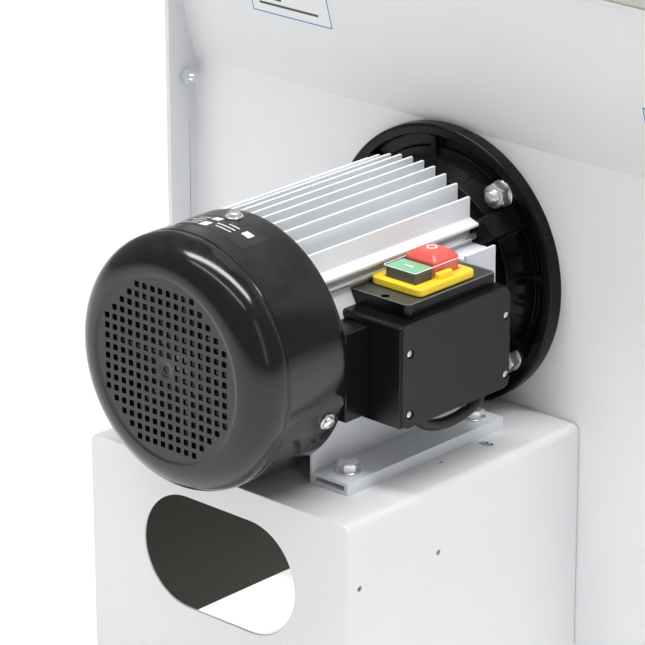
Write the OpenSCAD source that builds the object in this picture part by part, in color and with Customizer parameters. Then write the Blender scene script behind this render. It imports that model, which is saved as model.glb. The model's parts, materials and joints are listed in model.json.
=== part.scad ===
/* [Cabinet] */
// Length of the cabinet along the feed direction
cab_w = 490; // [460:2:520]
// Distance between the drive side panel and the far side panel
cab_d = 620; // [600:5:680]
// Height of the motor axis above the floor
axis_h = 300; // [290:1:320]
// Height of the cabinet's lower edge above the floor
cab_bottom = 44; // [36:1:50]
// Height at which the side panels start to lean outwards
bend_z = 397.5; // [380:0.5:410]
// Height of the cabinet's upper edge
cab_top = 524.5; // [500:0.5:550]
// How far a side panel leans out at its upper edge
flare = 35.5; // [20:0.5:45]
// Width of the lip folded out at each end of a side panel
lip = 26.5; // [20:0.5:32]
// Thickness of the cabinet's sheet steel
sheet = 2; // [1.5:0.5:3]

/* [Motor] */
// Distance from the mounting flange to the grille's outer face
motor_len = 278.6; // [270:0.2:290]
// Radius of the fan cowl
cowl_r = 87; // [86:0.5:92]
// Radius of the mounting flange
flange_r = 100; // [98:0.5:104]
// Radius of the circle of flange bolts
flange_pcr = 82.5; // [82:0.5:84]
// Half the spacing of the motor's foot bolts across the axis
foot_x = 70; // [68:0.5:72]
// Distance from the flange to the front pair of foot bolts
foot_front = 55.5; // [50:0.5:60]
// Spacing of the foot bolts along the axis
foot_pitch = 125; // [120:1:130]

/* [Console] */
// Length of the motor console away from the side panel
console_len = 233.5; // [225:0.5:245]
// Width of the motor console
console_w = 236; // [220:2:250]

/* [Sanding head] */
// Radius of the sanding drum with its abrasive
drum_r = 63.5; // [60:0.5:70]
// Length of the sanding drum
drum_len = 460; // [440:2:464]
// Height of the drum's axis above the floor
drum_z = 913.5; // [905:0.5:925]
// Radius of both belt pulleys
pulley_r = 48; // [44:1:50]

/* [Feed table] */
// Height of the feed table's surface at rest
table_z = 790; // [780:1:800]
// Length of the feed table along the feed direction
table_len = 690; // [660:2:700]
// Width of the feed belt
belt_w = 440; // [420:2:450]

/* [Hidden] */
$fn = 48;

cowl_back = 199;
cowl_t = 2.2;
cowl_round = 22;
housing_r = 66;
housing_bore = 58;
housing_front = 40;
fin_tip = 85.7;
fin_t = 2;
flange_turn = 5;
nut_seat = 7.2;
rod_x = 55.4;
rod_y = 42;
rod_d = 5;
shaft_r = 12;
shaft_run = 0.03;
box_y0 = 70;
box_y1 = 176;
box_x1 = 111;
box_bottom = -42;
box_top = 28.3;
platform_top = 38.3;
plate_top = 43.8;
button_top = 51.2;
foot_z = -90;
grid_pitch = 7.03;
grid_hole = 4.2;
grid_rows = [8, 10, 12, 14, 16, 16, 16, 16, 16, 16, 16, 16, 14, 12, 10, 8];
deck_z = 640;
body_x = 249;
body_out = 37;
col_x = 110;
col_in0 = 65;
col_in1 = 555;
col_top = 1000;
far_out = cab_d + 30;
wing = flare + 14;
mid_y = (cab_d + wing - motor_len) / 2;
throat_mid = (col_in0 + col_in1) / 2;
belt_y = 35;
belt_wide = 20;
screw_r = 10;
post_r = 12;
post_x = 150;
post_y = 190;
table_under = 718;
nut_z = 620;
wheel_z = 556;
roller_x = table_len / 2 - 28;
roller_z = table_z - 28;
press_z = 868;
press_x = 92;
wheel_x = -296;
hinge_x = 128;
hinge_z = 930;
door_y0 = 130;
door_y1 = 490;
door_z0 = 100;
door_z1 = 430;
lead_r = 4;
lead_path = [
    [88, -72, -47], [88, -72, -49], [88.2, -71, -52], [88.5, -71.4, -55.6], [89, -75, -59.2],
    [89, -82.5, -61.9], [89, -93, -63.8], [89, -105, -64.3], [89, -117, -62.7], [89, -127, -58.9],
    [88.6, -134, -53.6], [88, -138, -49], [88, -138, -47]
];

function arc(cx, cy, r, a0, a1, steps = 8) = [
    for (i = [0:steps]) [cx + r * cos(a0 + (a1 - a0) * i / steps), cy + r * sin(a0 + (a1 - a0) * i / steps)]
];

function unit(v) = v / norm(v);
function way(p, i) = unit(p[min(i + 1, len(p) - 1)] - p[max(i - 1, 0)]);
function ring(c, d, r, sides) = let (
    a = unit(cross(d, [1, 0, 0])),
    b = cross(a, d)
) [for (k = [0:sides - 1]) c + r * (cos(360 * k / sides) * a + sin(360 * k / sides) * b)];

// The machine's frame has y = 0 on the drive side panel's outer face; the part's origin is central.
module site() {
    translate([0, -mid_y, 0]) children();
}

// Local z runs outwards along the motor's axis, local y runs up.
module on_motor() {
    site() translate([0, 0, axis_h]) rotate([90, 0, 0]) children();
}

// Local z runs along +y from y0 at a point of the side view.
module along_y(x, y0, z) {
    site() translate([x, y0, z]) rotate([-90, 0, 0]) children();
}

module along_x(x0, y, z) {
    site() translate([x0, y, z]) rotate([0, 90, 0]) children();
}

module tube(r_out, r_in, h) {
    rotate_extrude($fn = 64) translate([r_in, 0]) square([r_out - r_in, h]);
}

// A sheet whose outline is given in y and z, from x0 in the +x direction.
module side_sheet(points, x0, t) {
    site() translate([x0, 0, 0]) rotate([90, 0, 90]) linear_extrude(t) polygon(points);
}

module side_panel() {
    side_sheet([
        [0, cab_bottom], [0, bend_z], [-flare, cab_top],
        [-flare + sheet, cab_top], [sheet, bend_z + 0.3], [sheet, cab_bottom]
    ], -cab_w / 2, cab_w);
    for (x = [-cab_w / 2 - sheet, cab_w / 2])
        side_sheet([
            [-lip, cab_bottom], [-lip, 450], [-wing, cab_top],
            [-flare + sheet, cab_top], [sheet, bend_z + 0.3], [sheet, cab_bottom]
        ], x, sheet);
}

module panel_holes() {
    on_motor() translate([0, 0, -10]) cylinder(r = 65, h = 20);
    on_motor() rotate(flange_turn) for (a = [45:90:315])
        rotate(a) translate([flange_pcr, 0, -10]) cylinder(r = 5.5, h = 20);
}

module lip_holes() {
    for (y = [-10.5, cab_d + 10.5], z = [85, 235, 385])
        along_x(-cab_w / 2 - 10, y, z) cylinder(r = 3.4, h = cab_w + 20);
}

module drive_side_panel() {
    color("gainsboro") difference() {
        side_panel();
        panel_holes();
        lip_holes();
    }
}

module far_side_panel() {
    color("gainsboro") difference() {
        translate([0, 2 * (cab_d / 2 - mid_y), 0]) mirror([0, 1, 0]) side_panel();
        lip_holes();
    }
}

module end_wall(x0) {
    side_sheet([
        [-lip, cab_bottom], [-lip, 450], [-wing, cab_top],
        [cab_d + wing, cab_top], [cab_d + lip, 450], [cab_d + lip, cab_bottom]
    ], x0, sheet);
}

module infeed_wall() {
    color("gainsboro") difference() {
        end_wall(-cab_w / 2 - 2 * sheet);
        site() translate([-cab_w / 2 - 10, door_y0 + 8, door_z0 + 8])
            cube([20, door_y1 - door_y0 - 16, door_z1 - door_z0 - 16]);
        lip_holes();
    }
}

module outfeed_wall() {
    color("gainsboro") difference() {
        end_wall(cab_w / 2 + sheet);
        for (i = [0:4])
            site() translate([cab_w / 2 - 5, cab_d / 2 - 110, 330 + 22 * i]) cube([20, 220, 8]);
        lip_holes();
    }
}

module base_floor() {
    color("gainsboro") difference() {
        site() translate([-cab_w / 2 + 1, sheet, cab_bottom]) cube([cab_w - 2, cab_d - 2 * sheet, 3]);
        for (x = [-200, 200], y = [50, cab_d - 50])
            site() translate([x, y, 0]) cylinder(r = 6.5, h = 100);
    }
}

module levelling_feet() {
    for (x = [-200, 200], y = [50, cab_d - 50]) site() translate([x, y, 0]) {
        color("dimgray") cylinder(r = 30, h = 6);
        color("dimgray") translate([0, 0, 6]) cylinder(r1 = 30, r2 = 14, h = 8, $fn = 64);
        color("silver") translate([0, 0, 14]) cylinder(r = 6, h = 56);
        color("silver") translate([0, 0, cab_bottom - 8]) cylinder(r = 10.4, h = 8, $fn = 6);
        color("silver") translate([0, 0, cab_bottom + 3]) cylinder(r = 10.4, h = 8, $fn = 6);
    }
}

module lip_bolt() {
    translate([0, 0, -4]) cylinder(r = 5.8, h = 4, $fn = 6);
    cylinder(r = 3, h = 14);
    translate([0, 0, 2 * sheet]) cylinder(r = 6.5, h = 1.2);
    translate([0, 0, 2 * sheet + 1.2]) cylinder(r = 5.8, h = 5, $fn = 6);
}

module lip_bolts() {
    color("silver") for (y = [-10.5, cab_d + 10.5], z = [85, 235, 385]) {
        along_x(-cab_w / 2 - 2 * sheet, y, z) lip_bolt();
        along_x(cab_w / 2 + 2 * sheet, y, z) mirror([0, 0, 1]) lip_bolt();
    }
}

module upper_body() {
    color([0.75, 0.73, 0.70]) difference() {
        site() translate([-body_x, -body_out, cab_top])
            cube([2 * body_x, cab_d + 2 * body_out, deck_z - cab_top]);
        site() translate([-body_x + sheet, -body_out + sheet, cab_top - 1])
            cube([2 * (body_x - sheet), cab_d + 2 * (body_out - sheet), deck_z - cab_top - 2]);
        site() translate([-60, 14, deck_z - 20]) cube([120, 42, 40]);
        for (x = [-post_x, post_x], y = [throat_mid - post_y, throat_mid + post_y])
            site() translate([x, y, deck_z - 20]) cylinder(r = 20, h = 40);
        site() translate([0, throat_mid, deck_z - 20]) cylinder(r = 32, h = 40);
        along_x(-body_x - 10, throat_mid, wheel_z) cylinder(r = 14, h = 20);
    }
}

module console_outline() {
    polygon(concat(
        [[-console_w / 2, cab_bottom + 0.5 - axis_h], [console_w / 2, cab_bottom + 0.5 - axis_h]],
        arc(console_w / 2 - 6, foot_z - 6, 6, 0, 90, 6),
        arc(-console_w / 2 + 6, foot_z - 6, 6, 90, 180, 6)
    ));
}

module motor_console() {
    color("white") difference() {
        on_motor() linear_extrude(console_len) console_outline();
        on_motor() translate([0, 0, -1]) linear_extrude(console_len - sheet + 1)
            translate([0, -sheet]) difference() {
                console_outline();
                for (s = [-1, 1])
                    translate([s * (console_w / 2 + 8 - sheet), -200]) square([20, 500], center = true);
            }
        on_motor() translate([1.4, -151.5, console_len - 10]) {
            translate([-28.75, -40.25, 0]) cube([57.5, 80.5, 20]);
            for (x = [-28.75, 28.75]) translate([x, 0, 0]) cylinder(r = 40.25, h = 20);
        }
        on_motor() translate([0, 0, -1]) cylinder(r = flange_r + 0.5, h = 13, $fn = 96);
        for (x = [90, 94]) site() translate([x, -68, axis_h + foot_z - 10]) cylinder(r = 3, h = 20);
        site() translate([90, -113, axis_h + foot_z - 10]) cylinder(r = 1.5, h = 20);
        for (y = [-222, -145]) along_x(console_w / 2 - 10, y, axis_h - 137) cylinder(r = 1.6, h = 20);
        for (x = [-foot_x, foot_x], y = [foot_front, foot_front + foot_pitch])
            site() translate([x, -y, axis_h + foot_z - 20]) cylinder(r = 4.5, h = 40);
    }
}

module access_door() {
    color("gainsboro") {
        site() translate([-cab_w / 2 - 2 * sheet - 17, door_y0, door_z0]) difference() {
            cube([16, door_y1 - door_y0, door_z1 - door_z0]);
            translate([sheet, sheet, sheet])
                cube([30, door_y1 - door_y0 - 2 * sheet, door_z1 - door_z0 - 2 * sheet]);
        }
        for (z = [door_z0 + 40, door_z1 - 80])
            site() translate([-cab_w / 2 - 2 * sheet - 9, door_y0 - 8, z]) difference() {
                union() {
                    cylinder(r = 6, h = 40);
                    translate([-6, 0, 0]) cube([12, 8, 40]);
                }
                translate([0, 0, -1]) cylinder(r = 3.05, h = 42);
            }
        site() translate([-cab_w / 2 - 2 * sheet - 35, door_y1 - 40, 240]) difference() {
            cube([18, 14, 70]);
            translate([6, -1, 12]) cube([20, 16, 46]);
        }
    }
}

module door_hinge_pins() {
    color("silver") for (z = [door_z0 + 40, door_z1 - 80])
        site() translate([-cab_w / 2 - 2 * sheet - 9, door_y0 - 8, z]) {
            translate([0, 0, -10]) cylinder(r = 3, h = 60);
            for (h = [-12, 41]) translate([0, 0, h]) {
                cylinder(r = 6, h = 11);
                translate([-6, -6, 0]) cube([15, 6, 11]);
            }
        }
}

module cowl_shape(r, top, round_r, bottom) {
    rotate_extrude($fn = 96) polygon(concat(
        [[0, bottom], [r, bottom]],
        arc(r - round_r, top - round_r, round_r, 0, 90, 8),
        [[0, top]]
    ));
}

module fan_cowl() {
    color([0.16, 0.16, 0.17]) difference() {
        on_motor() cowl_shape(cowl_r, motor_len, cowl_round, cowl_back);
        on_motor() cowl_shape(cowl_r - cowl_t, motor_len - cowl_t, cowl_round - cowl_t, cowl_back - 1);
        on_motor() for (j = [0:15], i = [0:15])
            if (abs(i - 7.5) < grid_rows[j] / 2 && !(abs(i - 7.5) < 1 && abs(j - 7.5) < 1))
                translate([(i - 7.5) * grid_pitch - grid_hole / 2, (j - 7.5) * grid_pitch - grid_hole / 2, 270])
                    cube([grid_hole, grid_hole, 20]);
        on_motor() translate([0, 0, 270]) cylinder(r = 2.5, h = 20);
        on_motor() for (a = [90, -22, 202])
            rotate(a) translate([cowl_r - 10, 0, 213]) rotate([0, 90, 0]) cylinder(r = 2.8, h = 20);
    }
}

module cowl_screws() {
    color("silver") on_motor() for (a = [90, -22, 202])
        rotate(a) translate([0, 0, 213]) rotate([0, 90, 0]) {
            translate([0, 0, 77]) cylinder(r = 2.5, h = cowl_r - 76);
            translate([0, 0, cowl_r]) cylinder(r = 6, h = 1.2);
            translate([0, 0, cowl_r + 1.2]) cylinder(r = 4.4, h = 3);
        }
}

module cooling_fan() {
    color("dimgray") on_motor() difference() {
        union() {
            translate([0, 0, 234]) cylinder(r = 22, h = 30);
            translate([0, 0, 234]) cylinder(r = 76, h = 3, $fn = 96);
            for (a = [0:45:315]) rotate(a) translate([18, -1.5, 235]) cube([57, 3, 25]);
        }
        translate([0, 0, 230]) cylinder(r = 9.98, h = 40);
    }
}

module rear_end_shield() {
    color("dimgray") on_motor() difference() {
        union() {
            translate([0, 0, 199]) cylinder(r = 84.4, h = 6, $fn = 96);
            translate([0, 0, 199]) tube(84.4, 76, 24);
            translate([0, 0, 187]) cylinder(r = 57.9, h = 13, $fn = 96);
            translate([0, 0, 199]) cylinder(r = 24, h = 18);
        }
        translate([0, 0, 199.5]) cylinder(r = 17.5, h = 14);
        translate([0, 0, 180]) cylinder(r = 13, h = 50);
        for (s = [-1, 1], t = [-1, 1]) translate([s * rod_x, t * rod_y, 180]) cylinder(r = 3.2, h = 50);
        for (a = [90, -22, 202]) rotate(a) translate([70, 0, 213]) rotate([0, 90, 0]) cylinder(r = 2.5, h = 20);
    }
}

module vertical_fins(sign) {
    for (x = sign > 0 ? [-51, -40, -30, -20, -10, 0, 10, 20, 30, 40, 51] : [-20, -10, 0, 10, 20]) {
        y0 = sqrt(pow(housing_r, 2) - pow(x, 2)) - 2;
        y1 = min(sqrt(pow(fin_tip, 2) - pow(x, 2)), sign > 0 ? 100 : 86);
        translate([x - fin_t / 2, sign > 0 ? y0 : -y1]) square([fin_t, y1 - y0]);
    }
}

module side_fins(s) {
    for (y = [-36:12:36]) {
        x0 = sqrt(pow(housing_r, 2) - pow(y, 2)) - 2;
        translate([s > 0 ? x0 : -75, y - 1]) square([75 - x0, 2]);
    }
    translate([s > 0 ? 73 : -75, -40]) square([2, 80]);
}

module motor_housing() {
    color([0.80, 0.82, 0.86]) on_motor() difference() {
        union() {
            translate([0, 0, housing_front]) cylinder(r = housing_r, h = cowl_back - housing_front, $fn = 96);
            translate([0, 0, housing_front]) linear_extrude(cowl_back - housing_front) {
                vertical_fins(1);
                vertical_fins(-1);
                side_fins(-1);
                for (s = [-1, 1]) polygon([[s * 50, 53.2], [s * 60, 49.9], [s * 60, 51.7], [s * 50, 55.2]]);
            }
            translate([0, 0, housing_front]) linear_extrude(box_y0 - housing_front) side_fins(1);
        }
        translate([0, 0, housing_front - 1]) cylinder(r = housing_bore, h = 200, $fn = 96);
        for (s = [-1, 1]) translate([s * 70, -42, housing_front - 1]) cube([36, 20, 400], center = true);
    }
}

module stator() {
    color("peru") on_motor() {
        translate([0, 0, 70]) tube(57.9, 36, 90);
        for (z = [52, 160]) translate([0, 0, z]) tube(54, 40, 18);
    }
}

module rotor_shaft() {
    color("silver") on_motor() {
        translate([0, 0, 70]) cylinder(r = 35.5, h = 90, $fn = 64);
        translate([0, 0, -64]) cylinder(r = shaft_r - shaft_run, h = 297.5);
        translate([0, 0, 233]) cylinder(r = 9.95, h = 30);
    }
}

module bearing(r_out, r_in, w) {
    rotate_extrude($fn = 64) {
        translate([r_in, 0]) square([(r_out - r_in) * 0.3, w]);
        translate([r_out - (r_out - r_in) * 0.3, 0]) square([(r_out - r_in) * 0.3, w]);
        translate([r_in, w * 0.2]) square([r_out - r_in, w * 0.6]);
    }
}

module motor_bearings() {
    color("lightgray") on_motor() {
        translate([0, 0, 199.5]) bearing(17.5, shaft_r, 14);
        translate([0, 0, 20]) bearing(26, shaft_r, 15);
    }
}

module rod_lug(s, t) {
    rotate(atan2(t * rod_y, s * rod_x)) {
        translate([60, -9, 3]) cube([24, 18, 36.9]);
    }
}

module front_flange() {
    color([0.16, 0.16, 0.17]) on_motor() difference() {
        union() {
            rotate_extrude($fn = 96) polygon([
                [20, 0], [flange_r, 0], [flange_r, 9.5], [flange_r - 1.5, 11], [92.5, 11], [92, 4], [83.5, 4],
                [83, 7], [79, 7], [66, 17], [66, 40], [57.9, 40], [57.9, 47], [50, 47], [50, 35], [26, 35],
                [26, 20], [20, 20]
            ]);
            for (s = [-1, 1], t = [-1, 1]) rod_lug(s, t);
            rotate(flange_turn) for (a = [0:90:270]) {
                rotate(a) translate([70, -2.5, 0]) cube([24, 5, 10]);
                rotate(a + 45) translate([flange_pcr, 0, 1]) cylinder(r = 12.5, h = 8);
            }
        }
        rotate(flange_turn) for (a = [45:90:315]) {
            rotate(a) translate([flange_pcr, 0, -1]) cylinder(r = 5.5, h = 20);
            rotate(a) translate([flange_pcr, 0, nut_seat]) cylinder(r = 11.5, h = 40);
        }
        for (s = [-1, 1], t = [-1, 1]) translate([s * rod_x, t * rod_y, 24]) cylinder(r = rod_d / 2, h = 60);
        translate([-50, bend_z - axis_h - 0.5, -1]) cube([100, 20, 1.9]);
    }
}

module tie_rods() {
    color("silver") on_motor() for (s = [-1, 1], t = [-1, 1]) translate([s * rod_x, t * rod_y, 0]) {
        translate([0, 0, 24]) cylinder(r = rod_d / 2, h = 188);
        translate([0, 0, 205]) cylinder(r = 5.8, h = 5, $fn = 6);
    }
}

module foot_rail(s) {
    difference() {
        union() {
            translate([s > 0 ? 51 : -84, foot_z, 40]) cube([33, 8.7, 156.5]);
            translate([s > 0 ? 50.5 : -53.5, foot_z, 40]) cube([3, s > 0 ? 46 : 60, 156.5]);
        }
        translate([s > 0 ? 54.5 : -80.5, foot_z + 2.6, 30]) cube([26, 3.4, 180]);
        translate([0, 0, 30]) cylinder(r = housing_r + 0.05, h = 180, $fn = 96);
        for (t = [-1, 1]) translate([s * rod_x, t * rod_y, 30]) cylinder(r = 3.5, h = 180);
        translate([s * 52, -34, 205]) rotate([45, 0, 0]) cube([20, 40, 40], center = true);
        for (z = [foot_front, foot_front + foot_pitch])
            translate([s * foot_x, foot_z - 10, z]) rotate([-90, 0, 0]) cylinder(r = 4.5, h = 40);
    }
}

module motor_feet() {
    color([0.78, 0.79, 0.80]) on_motor() for (s = [-1, 1]) {
        foot_rail(s);
        translate([0, 0, 45]) linear_extrude(146)
            polygon([[s * 50.5, foot_z + 12], [s * 50.5, foot_z + 16], [s * 30, -58.9], [s * 27, -60.4]]);
    }
}

module foot_bolts() {
    color("silver") for (x = [-foot_x, foot_x], y = [foot_front, foot_front + foot_pitch])
        site() translate([x, -y, axis_h + foot_z]) {
            translate([0, 0, -18]) cylinder(r = 4, h = 27);
            translate([0, 0, 8.7]) cylinder(r = 8.5, h = 1.6);
            translate([0, 0, 10.3]) cylinder(r = 7.5, h = 5.5, $fn = 6);
            translate([0, 0, -sheet - 7]) cylinder(r = 7.5, h = 7, $fn = 6);
        }
}

module flange_nuts() {
    color("silver") on_motor() rotate(flange_turn) for (a = [45:90:315]) rotate(a)
        translate([flange_pcr, 0, 0]) {
            translate([0, 0, -sheet - 6]) cylinder(r = 5, h = 30);
            translate([0, 0, -sheet - 6]) cylinder(r = 9.2, h = 6, $fn = 6);
            translate([0, 0, nut_seat]) cylinder(r = 9.5, h = 2);
            translate([0, 0, nut_seat + 2]) cylinder(r = 9.2, h = 8, $fn = 6);
        }
}

// A slab with rounded corners that lies flat, given in x and in distance out from the panel.
module slab(x0, x1, z0, z1, round_r, top, h) {
    translate([0, top, 0]) rotate([90, 0, 0]) linear_extrude(h) polygon(concat(
        arc(x1 - round_r, z1 - round_r, round_r, 0, 90, 4), arc(x0 + round_r, z1 - round_r, round_r, 90, 180, 4),
        arc(x0 + round_r, z0 + round_r, round_r, 180, 270, 4), arc(x1 - round_r, z0 + round_r, round_r, 270, 360, 4)
    ));
}

module terminal_box() {
    color([0.17, 0.17, 0.18]) on_motor() difference() {
        union() {
            translate([50, box_bottom, box_y0]) cube([box_x1 - 50, box_top - box_bottom, box_y1 - box_y0]);
            slab(53, 105, 74, 162, 4, platform_top, platform_top - 24);
        }
        translate([74, box_bottom + 3, box_y0 + 3]) cube([60, box_top - box_bottom - 6, box_y1 - box_y0 - 6]);
        translate([76, 20, 80]) cube([24, 15.3, 72]);
        translate([0, 0, 30]) cylinder(r = housing_r + 0.05, h = 200, $fn = 96);
        for (t = [-1, 1]) translate([rod_x, t * rod_y, 30]) cylinder(r = 3.4, h = 200);
        for (z = [box_y0 + 3, box_y1 - 7.5], y = [-33, 9])
            translate([box_x1 - 20, y, z]) rotate([0, 90, 0]) cylinder(r = 2, h = 40);
        translate([80.5, 30, 100]) cube([3, 20, 36]);
        translate([81, platform_top - 4, 157]) rotate([-90, 0, 0]) cylinder(r = 2.6, h = 10);
        for (z = [72, 138]) translate([88, box_bottom - 5, z]) rotate([-90, 0, 0]) cylinder(r = 5.5, h = 20);
        translate([101, box_bottom - 5, 108]) rotate([-90, 0, 0]) cylinder(r = 5.5, h = 20);
    }
}

module terminal_cover() {
    color([0.17, 0.17, 0.18]) on_motor() difference() {
        translate([box_x1, 0, 0]) rotate([0, 90, 0]) linear_extrude(2.5) polygon(concat(
            arc(-box_y0 - 6, box_top - 6, 6, 0, 90, 4), arc(-box_y1 + 6, box_top - 6, 6, 90, 180, 4),
            arc(-box_y1 + 6, box_bottom + 6, 6, 180, 270, 4), arc(-box_y0 - 6, box_bottom + 6, 6, 270, 360, 4)
        ));
        for (z = [box_y0 + 3, box_y1 - 7.5], y = [-33, 9])
            translate([box_x1 - 20, y, z]) rotate([0, 90, 0]) cylinder(r = 2.9, h = 40);
    }
}

module cover_screws() {
    color("silver") on_motor() for (z = [box_y0 + 3, box_y1 - 7.5], y = [-33, 9])
        translate([box_x1 - 8, y, z]) rotate([0, 90, 0]) {
            cylinder(r = 1.95, h = 8.5);
            translate([0, 0, 8]) cylinder(r = 2.8, h = 1.6);
        }
}

module switch_plate() {
    color("gold") on_motor() difference() {
        union() {
            slab(58.1, 102, 91.5, 147, 4.5, plate_top, plate_top - platform_top);
            slab(93.6, 98.4, 110, 124, 1, plate_top + 3.8, 4);
        }
        translate([65.4, platform_top - 1, 97]) cube([27.2, 20, 24.8]);
        translate([65.4, platform_top - 1, 122.8]) cube([27.2, 20, 18.3]);
    }
}

module start_button() {
    color("seagreen") on_motor() slab(65.8, 92.2, 123.2, 140.7, 2, button_top, button_top - platform_top - 3.5);
}

module stop_button() {
    color("firebrick") on_motor() {
        slab(65.8, 92.2, 97.4, 121.4, 1.5, button_top + 1.2, button_top - platform_top - 2.3);
        hull() {
            translate([65.8, button_top + 1.1, 97.4]) cube([26.4, 0.1, 24]);
            translate([73, button_top + 7, 103]) cube([12, 0.1, 12]);
        }
    }
}

module switch_guard() {
    color([0.85, 0.9, 0.9, 0.4]) on_motor() difference() {
        slab(64.6, 93.4, 96, 142, 2.5, button_top + 0.4, button_top + 0.4 - plate_top);
        translate([65.4, platform_top, 96.8]) cube([27.2, 25, 44.4]);
    }
}

module cable_glands() {
    color([0.15, 0.15, 0.16]) on_motor() {
        for (z = [72, 138]) translate([88, box_bottom, z]) rotate([90, 0, 0]) difference() {
            union() {
                cylinder(r = 7, h = 4, $fn = 6);
                translate([0, 0, -4]) cylinder(r = 5.4, h = 9);
            }
            translate([0, 0, -5]) cylinder(r = lead_r, h = 5);
        }
        translate([101, box_bottom, 108]) rotate([90, 0, 0]) difference() {
            union() {
                cylinder(r = 7, h = 5, $fn = 6);
                translate([0, 0, -4]) cylinder(r = 5.4, h = 9);
            }
            translate([0, 0, -5]) cylinder(r = 3.5, h = 11);
        }
    }
}

module switch_lead() {
    sides = 10;
    n = len(lead_path);
    rings = [for (i = [0:n - 1]) ring(lead_path[i], way(lead_path, i), lead_r, sides)];
    color("black") site() translate([0, 0, axis_h]) polyhedron(
        points = [for (r = rings) each r],
        faces = concat(
            [[for (k = [0:sides - 1]) k]],
            [for (i = [0:n - 2], k = [0:sides - 1]) let (j = (k + 1) % sides)
                each [[i * sides + k, (i + 1) * sides + j, i * sides + j],
                      [i * sides + k, (i + 1) * sides + k, (i + 1) * sides + j]]],
            [[for (k = [sides - 1:-1:0]) (n - 1) * sides + k]]
        )
    );
}

module pulley(bore) {
    difference() {
        rotate_extrude($fn = 64) polygon([
            [0, -2], [pulley_r + 3, -2], [pulley_r + 3, 1], [pulley_r, 1],
            [pulley_r, belt_wide + 5], [pulley_r + 3, belt_wide + 5], [pulley_r + 3, belt_wide + 8], [0, belt_wide + 8]
        ]);
        translate([0, 0, -5]) cylinder(r = bore, h = 60);
        for (a = [0:60:300]) rotate(a) translate([30, 0, -5]) cylinder(r = 7, h = 60);
    }
}

module motor_pulley() {
    color("silver") along_y(0, belt_y - 13, axis_h) pulley(shaft_r - shaft_run);
}

module drum_pulley() {
    color("silver") along_y(0, belt_y - 13, drum_z) pulley(shaft_r - shaft_run);
}

module drive_belt() {
    r = pulley_r + 0.3;
    color([0.12, 0.12, 0.12]) {
        for (s = [-1, 1])
            site() translate([s > 0 ? r : -r - 4, belt_y - belt_wide / 2, axis_h])
                cube([4, belt_wide, drum_z - axis_h]);
        for (z = [axis_h, drum_z])
            site() difference() {
                translate([0, belt_y - belt_wide / 2, z]) rotate([-90, 0, 0]) tube(r + 4, r, belt_wide);
                translate([-100, 0, z == axis_h ? z : z - 100]) cube([200, 100, 100]);
            }
    }
}

module column(y0, y1, wall_y) {
    difference() {
        site() translate([-col_x, y0, deck_z]) cube([2 * col_x, y1 - y0, col_top - deck_z]);
        site() translate([-col_x + sheet, min(y0, y1) + (wall_y > 0 ? -1 : 3), deck_z - 1])
            cube([2 * (col_x - sheet), y1 - y0 - 2, col_top - deck_z - sheet + 1]);
        along_y(0, y0 - 20, drum_z) cylinder(r = 26, h = 200);
        for (x = [-press_x, press_x]) along_y(x, y0 - 20, press_z) cylinder(r = 6.05, h = 200);
    }
}

module drive_column() {
    color([0.75, 0.73, 0.70]) column(-28, col_in0, 1);
}

module far_column() {
    color([0.75, 0.73, 0.70]) column(col_in1, far_out - 2, -1);
}

module column_covers() {
    color([0.75, 0.73, 0.70]) {
        site() translate([-col_x, -30, deck_z]) cube([2 * col_x, 2, col_top - deck_z]);
        site() translate([-col_x, far_out - 2, deck_z]) cube([2 * col_x, 2, col_top - deck_z]);
    }
}

module sanding_drum() {
    y0 = throat_mid - drum_len / 2;
    color("silver") along_y(0, y0, drum_z) {
        tube(drum_r - 1.5, drum_r - 8, drum_len);
        for (z = [0, drum_len - 12]) translate([0, 0, z]) tube(drum_r - 5, shaft_r, 12);
    }
}

module drum_shaft() {
    color("silver") along_y(0, 8, drum_z) cylinder(r = shaft_r - shaft_run, h = 595);
}

module abrasive_wrap() {
    color("sienna") along_y(0, throat_mid - drum_len / 2, drum_z)
        tube(drum_r, drum_r - 1.5, drum_len);
}

module drum_bearings() {
    color("dimgray") for (y = [col_in0, col_in1 - 12]) along_y(0, y, drum_z) {
        bearing(26, shaft_r, 12);
        tube(38, 26, 12);
    }
}

module hood_outline(r) {
    polygon(concat(
        [[-r, 0]], arc(0, 78, r, 180, 0, 20), [[r, 0]]
    ));
}

module hood() {
    color([0.75, 0.73, 0.70]) difference() {
        union() {
            along_y(0, col_in0 + 4, 890) mirror([0, 1, 0])
                linear_extrude(col_in1 - col_in0 - 8) hood_outline(104);
            site() translate([0, throat_mid, 1050]) cylinder(r = 50, h = 60, $fn = 64);
            site() translate([0, throat_mid, 1050]) cylinder(r = 54, h = 24, $fn = 64);
            for (y = [100, 480]) along_y(hinge_x, y, hinge_z) cylinder(r = 8, h = 40);
            for (y = [100, 480]) site() translate([100, y, hinge_z - 8]) cube([hinge_x - 100, 40, 16]);
            site() translate([-138, throat_mid - 60, 920]) difference() {
                cube([38, 120, 12]);
                translate([8, 12, -5]) cube([22, 96, 30]);
            }
        }
        along_y(0, col_in0 + 6, 888) mirror([0, 1, 0])
            linear_extrude(col_in1 - col_in0 - 12) hood_outline(102);
        intersection() {
            along_y(0, col_in0, 888) mirror([0, 1, 0]) linear_extrude(col_in1 - col_in0) hood_outline(102);
            site() translate([-120, 0, 850]) cube([240, 700, col_top + 3 - 850]);
        }
        site() translate([0, throat_mid, 1000]) cylinder(r = 48, h = 120, $fn = 64);
        for (y = [90, 470]) along_y(hinge_x, y, hinge_z) cylinder(r = 4.05, h = 60);
    }
}

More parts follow.
